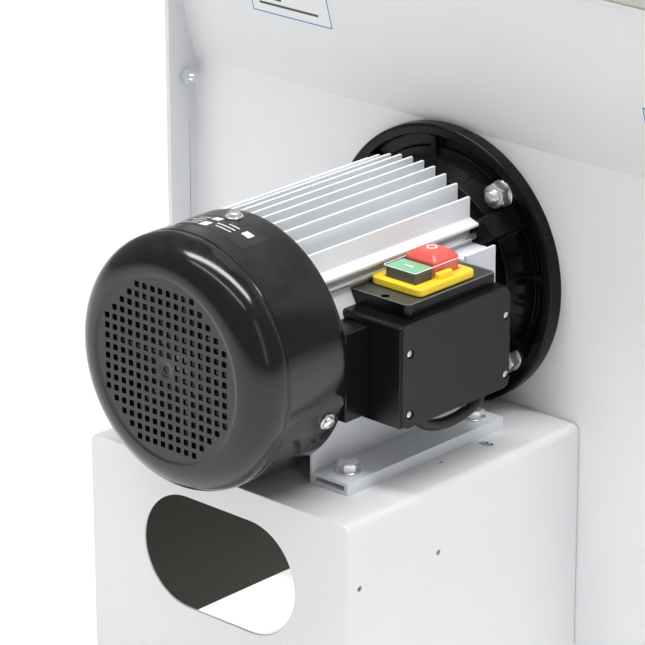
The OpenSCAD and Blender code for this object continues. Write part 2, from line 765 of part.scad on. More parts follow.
module hood_hinge_pins() {
    color("silver") for (y = [100, 480]) {
        along_y(hinge_x, y - 6, hinge_z) cylinder(r = 4, h = 52);
    }
    color([0.75, 0.73, 0.70]) {
        along_y(hinge_x, col_in0, hinge_z) cylinder(r = 9, h = 30);
        along_y(hinge_x, 525, hinge_z) cylinder(r = 9, h = 30);
        for (y = [col_in0, col_in1 - 3]) site() translate([90, y, hinge_z - 9]) cube([38, 3, 18]);
    }
}

module pressure_roller(x) {
    along_y(x, throat_mid - 236, press_z) cylinder(r = 18, h = 472);
    along_y(x, col_in0 - 10, press_z) cylinder(r = 6, h = col_in1 - col_in0 + 20);
}

module infeed_roller() {
    color([0.2, 0.2, 0.2]) pressure_roller(-press_x);
}

module outfeed_roller() {
    color([0.2, 0.2, 0.2]) pressure_roller(press_x);
}

module table_frame() {
    color("silver") difference() {
        site() union() {
            for (s = [-1, 1])
                translate([10 - table_len / 2, throat_mid + (s > 0 ? belt_w / 2 + 2 : -belt_w / 2 - 10), table_under])
                    cube([table_len - 20, 8, table_z - 4 - table_under]);
            translate([-280, throat_mid - belt_w / 2 - 4, table_z - 7.2]) cube([560, belt_w + 8, 4]);
            for (x = [-post_x, 0, post_x])
                translate([x - 34, throat_mid - belt_w / 2 - 4, table_under]) cube([68, belt_w + 8, 10]);
        }
        for (x = [-roller_x, roller_x])
            along_y(x, 0, roller_z) cylinder(r = 10.05, h = cab_d);
        site() translate([0, throat_mid, table_under - 10]) cylinder(r = 13, h = 40);
    }
}

module feed_belt() {
    color([0.25, 0.25, 0.26]) {
        for (z = [table_z - 3, table_z - 56])
            site() translate([-roller_x, throat_mid - belt_w / 2, z]) cube([2 * roller_x, belt_w, 3]);
        for (s = [-1, 1]) difference() {
            along_y(s * roller_x, throat_mid - belt_w / 2, roller_z) tube(28, 25.3, belt_w);
            site() translate([s > 0 ? roller_x - 60 : -roller_x, 0, roller_z - 30]) cube([60, cab_d, 60]);
        }
    }
}

module roller(x, y1) {
    along_y(x, throat_mid - belt_w / 2 + 1, roller_z) cylinder(r = 24.9, h = belt_w - 2);
    along_y(x, throat_mid - belt_w / 2 - 14, roller_z) cylinder(r = 10, h = y1 - throat_mid + belt_w / 2 + 14);
}

module drive_roller() {
    color("silver") roller(roller_x, 562);
}

module idler_roller() {
    color("silver") roller(-roller_x, 544);
}

module feed_gearmotor() {
    color("dimgray") difference() {
        union() {
            site() translate([roller_x - 27, 540.5, table_under + 4]) cube([54, 44, 70]);
            along_y(roller_x, 584, roller_z - 4) cylinder(r = 24, h = 56);
            along_y(roller_x, 640, roller_z - 4) cylinder(r = 25.5, h = 8);
        }
        along_y(roller_x, 530, roller_z) cylinder(r = 10.05, h = 34);
    }
}

module guide_posts() {
    color("silver") {
        for (x = [-post_x, post_x], y = [throat_mid - post_y, throat_mid + post_y])
            site() translate([x, y, 548]) cylinder(r = post_r - 0.03, h = table_under - 548);
        site() translate([0, throat_mid, nut_z + 24]) tube(26, 16, table_under - nut_z - 24);
        site() translate([0, throat_mid, nut_z]) tube(26, screw_r + 0.05, 24);
    }
}

module guide_bushes() {
    color("goldenrod") for (x = [-post_x, post_x], y = [throat_mid - post_y, throat_mid + post_y])
        site() translate([x, y, deck_z]) difference() {
            union() {
                cylinder(r = 28, h = 6);
                translate([0, 0, -40]) cylinder(r = 19.6, h = 41);
            }
            translate([0, 0, -50]) cylinder(r = post_r, h = 80);
        }
}

module lift_screw() {
    color("silver") site() translate([0, throat_mid, 0]) {
        translate([0, 0, 532]) cylinder(r = screw_r, h = 166);
        translate([0, 0, 508]) cylinder(r = 8, h = 26);
        translate([0, 0, 532]) cylinder(r1 = 23.6, r2 = 15.6, h = 8, $fn = 64);
    }
}

module lift_bearing() {
    color("dimgray") site() difference() {
        union() {
            translate([-body_x + sheet, throat_mid - 26, 525]) cube([2 * (body_x - sheet), 52, 6]);
            translate([0, throat_mid, 512]) cylinder(r = 18, h = 14);
            translate([-70, throat_mid - 20, 530]) cube([10, 40, 46]);
        }
        translate([0, throat_mid, 500]) cylinder(r = 8.04, h = 40);
        translate([-100, throat_mid, wheel_z]) rotate([0, 90, 0]) cylinder(r = 8.04, h = 60);
    }
    color("dimgray") along_x(-body_x - 8, throat_mid, wheel_z) {
        tube(24, 8.04, 8);
        tube(13.6, 8.04, 22);
    }
}

module handwheel() {
    color([0.15, 0.15, 0.15]) along_x(wheel_x, throat_mid, wheel_z) {
        rotate_extrude($fn = 96) translate([66, 0]) circle(r = 8, $fn = 32);
        translate([0, 0, -12]) cylinder(r = 18, h = 30);
        for (a = [0:120:240]) rotate(a) translate([14, -7, -4]) cube([48, 14, 8]);
    }
    color("silver") along_x(wheel_x + 10, throat_mid, wheel_z) {
        cylinder(r = 8, h = -wheel_x - 10 - 17);
        translate([0, 0, -wheel_x - 10 - 24]) cylinder(r1 = 23.6, r2 = 15.6, h = 8, $fn = 64);
        translate([0, 0, -wheel_x - 10 - 36]) cylinder(r = 16, h = 12.5);
    }
    color("silver") along_x(wheel_x - 36, throat_mid + 66, wheel_z) cylinder(r = 4, h = 36);
}

module handwheel_grip() {
    color([0.15, 0.15, 0.15]) along_x(wheel_x - 42, throat_mid + 66, wheel_z) difference() {
        rotate_extrude() polygon([[0, 0], [8, 0], [10, 3], [10.5, 12], [9, 24], [9.5, 31], [8, 33], [0, 33]]);
        translate([0, 0, 5.5]) cylinder(r = 4.05, h = 40);
    }
}

module control_box() {
    color([0.2, 0.2, 0.21]) difference() {
        site() translate([-col_x - 44, 562, 800]) cube([44, 80, 130]);
        along_x(-col_x - 60, 602, 890) cylinder(r = 4.05, h = 40);
        along_x(-col_x - 46, 602, 840) cylinder(r = 12, h = 5);
    }
}

module speed_knob() {
    color("black") along_x(-col_x - 62, 602, 890) {
        cylinder(r = 15, h = 17.5);
        translate([-15.5, -1, 0]) cube([6, 2, 17.5]);
        cylinder(r = 4, h = 36);
    }
}

drive_side_panel();
far_side_panel();
infeed_wall();
outfeed_wall();
base_floor();
levelling_feet();
lip_bolts();
upper_body();
motor_console();
access_door();
door_hinge_pins();
fan_cowl();
cooling_fan();
rear_end_shield();
motor_housing();
stator();
rotor_shaft();
motor_bearings();
front_flange();
tie_rods();
motor_feet();
foot_bolts();
flange_nuts();
cowl_screws();
terminal_box();
terminal_cover();
cover_screws();
switch_plate();
start_button();
stop_button();
switch_guard();
cable_glands();
switch_lead();
motor_pulley();
drum_pulley();
drive_belt();
drive_column();
far_column();
column_covers();
sanding_drum();
drum_shaft();
abrasive_wrap();
drum_bearings();
hood();
hood_hinge_pins();
infeed_roller();
outfeed_roller();
table_frame();
feed_belt();
drive_roller();
idler_roller();
feed_gearmotor();
guide_posts();
guide_bushes();
lift_screw();
lift_bearing();
handwheel();
handwheel_grip();
control_box();
speed_knob();
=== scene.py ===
import bpy
import json
import math
from mathutils import Euler, Matrix, Vector


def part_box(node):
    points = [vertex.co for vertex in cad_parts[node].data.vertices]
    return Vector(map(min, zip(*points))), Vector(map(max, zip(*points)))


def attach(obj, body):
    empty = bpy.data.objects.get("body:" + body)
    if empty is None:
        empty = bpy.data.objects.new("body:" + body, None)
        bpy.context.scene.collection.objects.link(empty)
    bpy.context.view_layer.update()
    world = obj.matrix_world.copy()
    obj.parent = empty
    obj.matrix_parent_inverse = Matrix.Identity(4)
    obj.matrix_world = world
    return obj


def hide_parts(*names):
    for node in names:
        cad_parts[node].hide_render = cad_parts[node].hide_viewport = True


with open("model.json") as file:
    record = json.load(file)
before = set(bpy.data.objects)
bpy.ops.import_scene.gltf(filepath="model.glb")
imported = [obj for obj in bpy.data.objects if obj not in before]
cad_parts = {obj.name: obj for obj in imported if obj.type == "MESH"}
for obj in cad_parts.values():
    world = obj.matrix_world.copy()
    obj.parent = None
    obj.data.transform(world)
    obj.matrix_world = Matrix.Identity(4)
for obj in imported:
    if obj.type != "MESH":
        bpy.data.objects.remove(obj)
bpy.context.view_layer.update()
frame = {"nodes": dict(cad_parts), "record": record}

nodes = frame["nodes"]
print("frame loaded:", len(nodes), "nodes")

# The motor's axis, and the outer face of the panel that it is bolted to
cowlLow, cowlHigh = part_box("fan_cowl")
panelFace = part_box("front_flange")[1].y
axisHeight = (cowlLow.z + cowlHigh.z) / 2
axisAcross = (cowlLow.x + cowlHigh.x) / 2


def fromMotor(across, outward, up):
    # A place given from the motor's axis and the panel's face
    return Vector((axisAcross + across, panelFace - outward, axisHeight + up))


# camera, floor and light
viewSetup = {
    "place": (1.6167, 1.8736, 0.9016),  # across, outward and up from the motor's axis on the panel
    "turn": 42.83,
    "tilt": 20.96,
    "roll": -0.16,
    "lens": 212.5,
    "sensor": 36.0,
}

roomSetup = {
    "floorSize": 60.0,
    "floorTone": (0.9, 0.9, 0.905),
    "floorGlow": 0.34,
    "skyTone": (1.0, 1.0, 1.0),
    "skyLevel": 0.28,
    "soft": [
        # name, place, aim, width, length, watts
        ("keyPanel", (0.3, -1.95, 2.75), (0.0, -0.3, 0.35), 3.2, 0.14, 12.0),
        ("topPanel", (0.2, -0.75, 3.1), (0.0, -0.3, 0.4), 3.8, 0.5, 106.0),
        ("sidePanel", (2.9, -1.3, 1.5), (0.1, -0.3, 0.3), 0.6, 2.0, 3.0),
        ("backPanel", (-1.2, 3.2, 2.6), (0.0, 0.2, 0.7), 2.4, 2.4, 34.0),
    ],
}


def makeCamera(setup):
    data = bpy.data.cameras.new("viewCamera")
    data.lens = setup["lens"]
    data.sensor_width = setup["sensor"]
    data.sensor_fit = "HORIZONTAL"
    data.clip_start = 0.05
    data.clip_end = 200
    camera = bpy.data.objects.new("viewCamera", data)
    bpy.context.scene.collection.objects.link(camera)
    aim = Euler((math.radians(90 - setup["tilt"]), 0, math.radians(setup["turn"]))).to_matrix()
    roll = Matrix.Rotation(math.radians(setup["roll"]), 3, "Z")
    camera.matrix_world = (aim @ roll).to_4x4()
    camera.location = fromMotor(*setup["place"])
    bpy.context.scene.camera = camera


def makeRoom(setup):
    bpy.ops.mesh.primitive_plane_add(size=setup["floorSize"], location=(0, 0, 0))
    floor = bpy.context.object
    floor.name = "studioFloor"
    paint = bpy.data.materials.new("studioFloorPaint")
    paint.use_nodes = True
    shader = paint.node_tree.nodes["Principled BSDF"]
    shader.inputs["Base Color"].default_value = (*setup["floorTone"], 1)
    shader.inputs["Roughness"].default_value = 0.9
    shader.inputs["Specular IOR Level"].default_value = 0.1
    shader.inputs["Emission Color"].default_value = (1, 1, 1, 1)
    shader.inputs["Emission Strength"].default_value = setup["floorGlow"]
    floor.data.materials.append(paint)
    world = bpy.data.worlds.new("studioSky")
    bpy.context.scene.world = world
    world.use_nodes = True
    sky = world.node_tree.nodes["Background"]
    sky.inputs["Color"].default_value = (*setup["skyTone"], 1)
    sky.inputs["Strength"].default_value = setup["skyLevel"]
    for name, place, aim, width, length, watts in setup["soft"]:
        bpy.ops.object.light_add(type="AREA", location=place)
        lamp = bpy.context.object
        lamp.name = name
        lamp.data.shape = "RECTANGLE"
        lamp.data.size = width
        lamp.data.size_y = length
        lamp.data.energy = watts
        lamp.rotation_euler = (Vector(aim) - Vector(place)).to_track_quat("-Z", "Y").to_euler()


makeCamera(viewSetup)
makeRoom(roomSetup)
bpy.context.scene.view_settings.view_transform = "Standard"
print("camera and room ready")


# handling
def deselectAll():
    held = bpy.context.object
    if held is not None and held.mode != "OBJECT":
        bpy.ops.object.mode_set(mode="OBJECT")
    bpy.ops.object.select_all(action="DESELECT")


def hold(piece):
    deselectAll()
    piece.select_set(True)
    bpy.context.view_layer.objects.active = piece
    return piece


def openMesh(piece, mode="FACE"):
    hold(piece)
    bpy.ops.object.mode_set(mode="EDIT")
    bpy.ops.mesh.select_mode(type=mode)
    bpy.ops.mesh.select_all(action="SELECT")


def closeMesh():
    bpy.ops.object.mode_set(mode="OBJECT")


def pick(piece, test, kind="faces"):
    # Selects the faces or edges that pass the test, and goes on in edit mode
    hold(piece)
    bpy.ops.object.mode_set(mode="EDIT")
    bpy.ops.mesh.select_mode(type="FACE" if kind == "faces" else "EDGE")
    bpy.ops.mesh.select_all(action="DESELECT")
    bpy.ops.object.mode_set(mode="OBJECT")
    mesh = piece.data
    if kind == "faces":
        for face in mesh.polygons:
            face.select = test(face.center, face.normal)
    else:
        for edge in mesh.edges:
            edge.select = test(*(mesh.vertices[corner].co for corner in edge.vertices))
    bpy.ops.object.mode_set(mode="EDIT")


def applied(piece, kind, **settings):
    hold(piece)
    step = piece.modifiers.new(kind.lower(), kind)
    for key, value in settings.items():
        setattr(step, key, value)
    bpy.ops.object.modifier_apply(modifier=step.name)
    return piece


def settled(piece, name):
    hold(piece)
    bpy.ops.object.transform_apply(location=True, rotation=True, scale=True)
    piece.name = name
    piece.data.name = name
    return piece


def tidyMesh(piece):
    openMesh(piece)
    bpy.ops.mesh.remove_doubles(threshold=0.000002)
    bpy.ops.mesh.normals_make_consistent(inside=False)
    closeMesh()
    return piece


def smoothed(piece, angle=32):
    hold(piece)
    bpy.ops.object.shade_smooth_by_angle(angle=math.radians(angle))
    return piece


def joined(parts, name):
    deselectAll()
    for part in parts:
        part.select_set(True)
    bpy.context.view_layer.objects.active = parts[0]
    if len(parts) > 1:
        bpy.ops.object.join()
    return settled(parts[0], name)


def copied(piece, place):
    twin = piece.copy()
    twin.data = piece.data.copy()
    bpy.context.scene.collection.objects.link(twin)
    twin.data.transform(Matrix.Translation(Vector(place)))
    return twin


def carved(piece, cutter, how="DIFFERENCE"):
    applied(piece, "BOOLEAN", operation=how, solver="EXACT", object=cutter)
    bpy.data.objects.remove(cutter)
    return piece


def finished(piece, body, finish, stands=()):
    if finish is not None:
        piece.data.materials.clear()
        piece.data.materials.append(finish)
    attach(piece, body)
    if stands:
        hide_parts(*stands)
    return piece


def turnedShape(name, outline, rings=96, closed=True):
    # A lathe: one circle is drawn out and scaled along the outline of (radius, height)
    first = outline[0]
    deselectAll()
    bpy.ops.mesh.primitive_circle_add(vertices=rings, radius=first[0], location=(0, 0, 0))
    piece = bpy.context.object
    piece.name = name
    piece.data.transform(Matrix.Translation((0, 0, first[1])))
    openMesh(piece, "EDGE")
    here = first
    for there in outline[1:] + ([first] if closed else []):
        bpy.ops.mesh.extrude_region_move(TRANSFORM_OT_translate={"value": (0, 0, there[1] - here[1])})
        grow = there[0] / here[0]
        bpy.ops.transform.resize(value=(grow, grow, 1))
        here = there
    closeMesh()
    return tidyMesh(piece)


def capped(piece):
    # Closes the open rings of a turned shape
    openMesh(piece, "EDGE")
    bpy.ops.mesh.fill_holes(sides=0)
    closeMesh()
    return tidyMesh(piece)


def block(name, low, high):
    deselectAll()
    centre = (Vector(low) + Vector(high)) / 2
    bpy.ops.mesh.primitive_cube_add(size=1, location=centre)
    piece = bpy.context.object
    piece.scale = Vector(high) - Vector(low)
    return settled(piece, name)


def eased(piece, width, segments=3, angle=40):
    applied(
        piece, "BEVEL", width=width, segments=segments, limit_method="ANGLE",
        angle_limit=math.radians(angle), use_clamp_overlap=False,
    )
    return smoothed(piece)


def softened(node, width, segments=2, angle=38):
    # A copy of a CAD node with its hard edges eased
    source = nodes[node]
    piece = bpy.data.objects.new(node + "_eased", source.data.copy())
    bpy.context.scene.collection.objects.link(piece)
    openMesh(piece)
    bpy.ops.mesh.remove_doubles(threshold=0.000002)
    bpy.ops.mesh.dissolve_limited(angle_limit=math.radians(0.3))
    closeMesh()
    return eased(piece, width, segments, angle)


# effects that several finishes share
def effectGroup(name, inputs, outputs):
    group = bpy.data.node_groups.new(name, "ShaderNodeTree")
    for label, value in inputs:
        kind = "NodeSocketVector" if isinstance(value, tuple) else "NodeSocketFloat"
        socket = group.interface.new_socket(name=label, in_out="INPUT", socket_type=kind)
        socket.default_value = value
    for label in outputs:
        group.interface.new_socket(name=label, in_out="OUTPUT", socket_type="NodeSocketFloat")
    start = group.nodes.new("NodeGroupInput")
    end = group.nodes.new("NodeGroupOutput")
    return group, start, end


def mathNode(tree, operation, first, second=None, clamp=False):
    step = tree.nodes.new("ShaderNodeMath")
    step.operation = operation
    step.use_clamp = clamp
    for slot, value in ((0, first), (1, second)):
        if value is None:
            continue
        if isinstance(value, (int, float)):
            step.inputs[slot].default_value = value
        else:
            tree.links.new(value, step.inputs[slot])
    return step.outputs[0]


def spanNode(tree, value, low, high, outLow=0.0, outHigh=1.0):
    step = tree.nodes.new("ShaderNodeMapRange")
    tree.links.new(value, step.inputs["Value"])
    for label, number in (("From Min", low), ("From Max", high), ("To Min", outLow), ("To Max", outHigh)):
        step.inputs[label].default_value = number
    return step.outputs["Result"]


def noiseNode(tree, place, scale, detail=3.0, rough=0.55):
    step = tree.nodes.new("ShaderNodeTexNoise")
    tree.links.new(place, step.inputs["Vector"])
    if isinstance(scale, (int, float)):
        step.inputs["Scale"].default_value = scale
    else:
        tree.links.new(scale, step.inputs["Scale"])
    step.inputs["Detail"].default_value = detail
    step.inputs["Roughness"].default_value = rough
    return step.outputs["Fac"]


def makeCoatGrain():
    # Fine orange peel of a sprayed or moulded skin, and slow changes of tone
    group, start, end = effectGroup("coatGrain", [("Grain", 700.0), ("Drift", 6.0)], ["Height", "Tone"])
    place = group.nodes.new("ShaderNodeTexCoord").outputs["Object"]
    fine = noiseNode(group, place, start.outputs["Grain"], 4.0, 0.6)
    slow = noiseNode(group, place, start.outputs["Drift"], 3.0, 0.5)
    group.links.new(fine, end.inputs["Height"])
    group.links.new(slow, end.inputs["Tone"])
    return group


def makeDrawnLines():
    # Streaks left by a die, a lathe or a brush; Stretch is small along the streaks
    group, start, end = effectGroup("drawnLines", [("Stretch", (900.0, 6.0, 900.0))], ["Height"])
    place = group.nodes.new("ShaderNodeTexCoord").outputs["Object"]
    scaled = group.nodes.new("ShaderNodeVectorMath")
    scaled.operation = "MULTIPLY"
    group.links.new(place, scaled.inputs[0])
    group.links.new(start.outputs["Stretch"], scaled.inputs[1])
    group.links.new(noiseNode(group, scaled.outputs["Vector"], 1.0, 2.0, 0.5), end.inputs["Height"])
    return group


def makeWorkshopDust():
    # Pale dust that settles on faces that look up
    group, start, end = effectGroup("workshopDust", [("Amount", 0.2), ("Size", 40.0)], ["Mask"])
    geometry = group.nodes.new("ShaderNodeNewGeometry")
    parts = group.nodes.new("ShaderNodeSeparateXYZ")
    group.links.new(geometry.outputs["Normal"], parts.inputs[0])
    facing = spanNode(group, parts.outputs["Z"], 0.35, 1.0)
    place = group.nodes.new("ShaderNodeTexCoord").outputs["Object"]
    patches = spanNode(group, noiseNode(group, place, start.outputs["Size"], 5.0, 0.65), 0.42, 0.72)
    both = mathNode(group, "MULTIPLY", facing, patches)
    group.links.new(mathNode(group, "MULTIPLY", both, start.outputs["Amount"]), end.inputs["Mask"])
    return group


def makeHandlingScuffs():
    # Sparse short scratches
    group, start, end = effectGroup("handlingScuffs", [("Amount", 0.1)], ["Mask"])
    place = group.nodes.new("ShaderNodeTexCoord").outputs["Object"]
    layers = []
    for stretch in ((90.0, 14.0, 420.0), (30.0, 380.0, 120.0)):
        scaled = group.nodes.new("ShaderNodeVectorMath")
        scaled.operation = "MULTIPLY"
        group.links.new(place, scaled.inputs[0])
        scaled.inputs[1].default_value = stretch
        layers.append(spanNode(group, noiseNode(group, scaled.outputs["Vector"], 1.0, 2.0, 0.5), 0.74, 0.80))
    both = mathNode(group, "MAXIMUM", layers[0], layers[1])
    group.links.new(mathNode(group, "MULTIPLY", both, start.outputs["Amount"]), end.inputs["Mask"])
    return group


coatGrain = makeCoatGrain()
drawnLines = makeDrawnLines()
workshopDust = makeWorkshopDust()
handlingScuffs = makeHandlingScuffs()


def groupNode(tree, group, **values):
    step = tree.nodes.new("ShaderNodeGroup")
    step.node_tree = group
    for label, value in values.items():
        step.inputs[label].default_value = value
    return step


def mixTone(tree, factor, first, second):
    step = tree.nodes.new("ShaderNodeMix")
    step.data_type = "RGBA"
    if isinstance(factor, (int, float)):
        step.inputs[0].default_value = factor
    else:
        tree.links.new(factor, step.inputs[0])
    for slot, tone in ((6, first), (7, second)):
        if isinstance(tone, tuple):
            step.inputs[slot].default_value = (*tone, 1)
        else:
            tree.links.new(tone, step.inputs[slot])
    return step.outputs[2]


def bumped(tree, shader, height, depth, under=None):
    bump = tree.nodes.new("ShaderNodeBump")
    bump.inputs["Distance"].default_value = depth
    tree.links.new(height, bump.inputs["Height"])
    if under is not None:
        tree.links.new(under, bump.inputs["Normal"])
    tree.links.new(bump.outputs["Normal"], shader.inputs["Normal"])
    return bump.outputs["Normal"]


def shade(tone, amount):
    return tuple(min(1.0, max(0.0, part * amount)) for part in tone)


finishSetup = {
    # tone, roughness, metal, gloss, grain (per metre, depth), drift, lines (stretch, depth), dust, scuffs
    "panel_paint": dict(tone=(0.82, 0.83, 0.842), rough=0.52, grain=(620, 0.00006), drift=0.02, dust=0.05),
    "console_paint": dict(
        tone=(0.765, 0.775, 0.785), rough=0.5, grain=(500, 0.00003), drift=0.012, dust=0.03,
    ),
    "body_paint": dict(tone=(0.52, 0.51, 0.475), rough=0.5, grain=(620, 0.00006), drift=0.02, dust=0.06),
    "cowl_paint": dict(
        tone=(0.006, 0.006, 0.0062), rough=0.12, gloss=0.5, grain=(420, 0.000008), drift=0.1,
        dust=0.04, scuff=0.05,
    ),
    "cast_black": dict(
        tone=(0.003, 0.003, 0.0032), rough=0.28, gloss=0.18, grain=(700, 0.00008), drift=0.2, dust=0.03,
    ),
    "fin_aluminium": dict(
        tone=(0.82, 0.84, 0.87), rough=0.42, metal=0.08, lines=((900.0, 6.0, 900.0), 0.00002),
        drift=0.04, dust=0.04,
    ),
    "zinc_steel": dict(tone=(0.78, 0.79, 0.80), rough=0.26, metal=0.8, grain=(2600, 0.00001), drift=0.06),
    "bright_steel": dict(
        tone=(0.60, 0.61, 0.62), rough=0.3, metal=1.0, lines=((1500.0, 60.0, 1500.0), 0.000008),
        drift=0.06, scuff=0.05,
    ),
    "cast_iron_grey": dict(tone=(0.12, 0.125, 0.13), rough=0.5, grain=(800, 0.00015), drift=0.1, dust=0.08),
    "winding": dict(
        tone=(0.42, 0.17, 0.06), rough=0.35, metal=0.6, lines=((700.0, 700.0, 20.0), 0.0002), drift=0.1,
    ),
    "box_plastic": dict(
        tone=(0.004, 0.004, 0.0042), rough=0.2, gloss=0.32, grain=(900, 0.000015), drift=0.1, dust=0.02,
    ),
    "cover_plastic": dict(
        tone=(0.010, 0.010, 0.010), rough=0.5, gloss=0.35, grain=(1500, 0.00009), drift=0.06, dust=0.02,
    ),
    "black_plastic": dict(
        tone=(0.012, 0.012, 0.013), rough=0.34, grain=(1500, 0.00002), drift=0.08, dust=0.03,
    ),
    "yellow_plastic": dict(tone=(0.98, 0.66, 0.03), rough=0.3, grain=(1200, 0.00002), drift=0.03),
    "green_plastic": dict(tone=(0.20, 0.50, 0.29), rough=0.2, grain=(1200, 0.00001), drift=0.03),
    "red_plastic": dict(tone=(0.78, 0.12, 0.10), rough=0.2, grain=(1200, 0.00001), drift=0.03),
    "cable_rubber": dict(tone=(0.014, 0.014, 0.014), rough=0.5, grain=(1500, 0.00003), drift=0.1),
    "belt_rubber": dict(tone=(0.02, 0.02, 0.02), rough=0.7, lines=((20.0, 900.0, 20.0), 0.0003), drift=0.1),
    "roller_rubber": dict(tone=(0.03, 0.03, 0.032), rough=0.65, grain=(900, 0.00005), drift=0.15, dust=0.3),
    "drum_aluminium": dict(
        tone=(0.62, 0.63, 0.64), rough=0.34, metal=1.0, lines=((60.0, 1600.0, 60.0), 0.00001),
        drift=0.05,
    ),
    "bush_bronze": dict(tone=(0.42, 0.27, 0.10), rough=0.38, metal=1.0, grain=(900, 0.00003), drift=0.08),
    # the console's inner faces: a dark tone that stands in for the shade inside, painted shade
    "interior_painted_shade": dict(tone=(0.07, 0.067, 0.052), rough=0.55, grain=(700, 0.00004), drift=0.08, dust=0.1),
    "fan_plastic": dict(tone=(0.42, 0.42, 0.40), rough=0.5, grain=(900, 0.00003), drift=0.08),
    "platform_grey": dict(tone=(0.06, 0.06, 0.056), rough=0.3, grain=(1500, 0.00002), drift=0.1),
    # pale tone on the platform's rim: a painted highlight along its edge
    "platform_rim_painted_highlight": dict(tone=(0.3, 0.3, 0.29), rough=0.4, grain=(1500, 0.00002), drift=0.1),
    # pale tone on the clear guard's top edge: a painted highlight along its rim
    "guard_rim_painted_highlight": dict(tone=(0.85, 0.87, 0.85), rough=0.2, grain=(1500, 0.00001), drift=0.1),
    "mark_white": dict(tone=(0.86, 0.87, 0.86), rough=0.4, grain=(1500, 0.00001), drift=0.02),
    "label_white": dict(tone=(0.84, 0.85, 0.86), rough=0.3, grain=(1500, 0.00001), drift=0.02),
    "label_blue": dict(tone=(0.03, 0.22, 0.50), rough=0.3, grain=(1500, 0.00001), drift=0.05),
    "label_ink": dict(tone=(0.02, 0.02, 0.022), rough=0.32, grain=(1500, 0.00001), drift=0.05),
    "wheel_black": dict(
        tone=(0.013, 0.013, 0.013), rough=0.32, grain=(900, 0.00003), drift=0.08, dust=0.05, scuff=0.08,
    ),
}


def makeFinish(name, tone, rough, drift, metal=0.0, gloss=0.5, grain=None, lines=None, dust=0.0, scuff=0.0):
    finish = bpy.data.materials.new(name)
    finish.use_nodes = True
    tree = finish.node_tree
    shader = tree.nodes["Principled BSDF"]
    shader.inputs["Metallic"].default_value = metal
    shader.inputs["Specular IOR Level"].default_value = gloss
    skin = groupNode(tree, coatGrain, Grain=grain[0] if grain else 400.0, Drift=9.0)
    colour = mixTone(tree, skin.outputs["Tone"], shade(tone, 1 - drift * 2), shade(tone, 1 + drift * 2))
    roughness = spanNode(tree, skin.outputs["Tone"], 0.25, 0.75, rough - 0.04, rough + 0.05)
    if scuff:
        marks = groupNode(tree, handlingScuffs, Amount=scuff).outputs["Mask"]
        colour = mixTone(tree, marks, colour, shade(tone, 1.8))
        roughness = mathNode(tree, "ADD", roughness, marks, clamp=True)
    if dust:
        powder = groupNode(tree, workshopDust, Amount=dust, Size=55.0).outputs["Mask"]
        colour = mixTone(tree, powder, colour, (0.55, 0.50, 0.43))
        roughness = mathNode(tree, "ADD", roughness, powder, clamp=True)
    tree.links.new(colour, shader.inputs["Base Color"])
    tree.links.new(roughness, shader.inputs["Roughness"])
    under = None
    if lines:
        streaks = groupNode(tree, drawnLines, Stretch=lines[0])
        under = bumped(tree, shader, streaks.outputs["Height"], lines[1])
    if grain:
        bumped(tree, shader, skin.outputs["Height"], grain[1], under)
    return finish


finishes = {slot: makeFinish(slot, **setup) for slot, setup in finishSetup.items()}


def makeClearCover():
    finish = bpy.data.materials.new("clear_plastic")
    finish.use_nodes = True
    tree = finish.node_tree
    shader = tree.nodes["Principled BSDF"]
    shader.inputs["Base Color"].default_value = (0.95, 0.97, 0.96, 1)
    shader.inputs["Alpha"].default_value = 0.035
    skin = groupNode(tree, coatGrain, Grain=500.0, Drift=60.0)
    tree.links.new(spanNode(tree, skin.outputs["Tone"], 0.2, 0.8, 0.04, 0.12), shader.inputs["Roughness"])
    bumped(tree, shader, skin.outputs["Height"], 0.00002)
    return finish


def makeAbrasive():
    # A strip wound round the drum: gritty, with a seam that climbs once per strip width
    finish = bpy.data.materials.new("abrasive")
    finish.use_nodes = True
    tree = finish.node_tree
    shader = tree.nodes["Principled BSDF"]
    shader.inputs["Roughness"].default_value = 0.85
    place = tree.nodes.new("ShaderNodeTexCoord").outputs["Object"]
    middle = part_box("abrasive_wrap")
    centre = (middle[0] + middle[1]) / 2
    moved = tree.nodes.new("ShaderNodeMapping")
    moved.inputs["Location"].default_value = tuple(-part for part in centre)
    tree.links.new(place, moved.inputs["Vector"])
    parts = tree.nodes.new("ShaderNodeSeparateXYZ")
    tree.links.new(moved.outputs["Vector"], parts.inputs[0])
    bearing = mathNode(tree, "ARCTAN2", parts.outputs["Z"], parts.outputs["X"])
    turns = mathNode(tree, "DIVIDE", bearing, 2 * math.pi)
    along = mathNode(tree, "DIVIDE", parts.outputs["Y"], 0.078)
    step = mathNode(tree, "FRACT", mathNode(tree, "ADD", mathNode(tree, "ADD", turns, along), 20.0))
    seam = mathNode(tree, "LESS_THAN", step, 0.012)
    grit = noiseNode(tree, place, 2400.0, 2.0, 0.8)
    patch = noiseNode(tree, place, 30.0, 4.0, 0.6)
    tone = mixTone(tree, grit, (0.10, 0.035, 0.015), (0.36, 0.15, 0.07))
    tone = mixTone(tree, spanNode(tree, patch, 0.4, 0.75, 0.0, 0.35), tone, (0.45, 0.33, 0.2))
    tone = mixTone(tree, seam, tone, (0.03, 0.02, 0.015))
    tree.links.new(tone, shader.inputs["Base Color"])
    height = mathNode(tree, "SUBTRACT", grit, mathNode(tree, "MULTIPLY", seam, 2.0))
    bumped(tree, shader, height, 0.0003)
    return finish


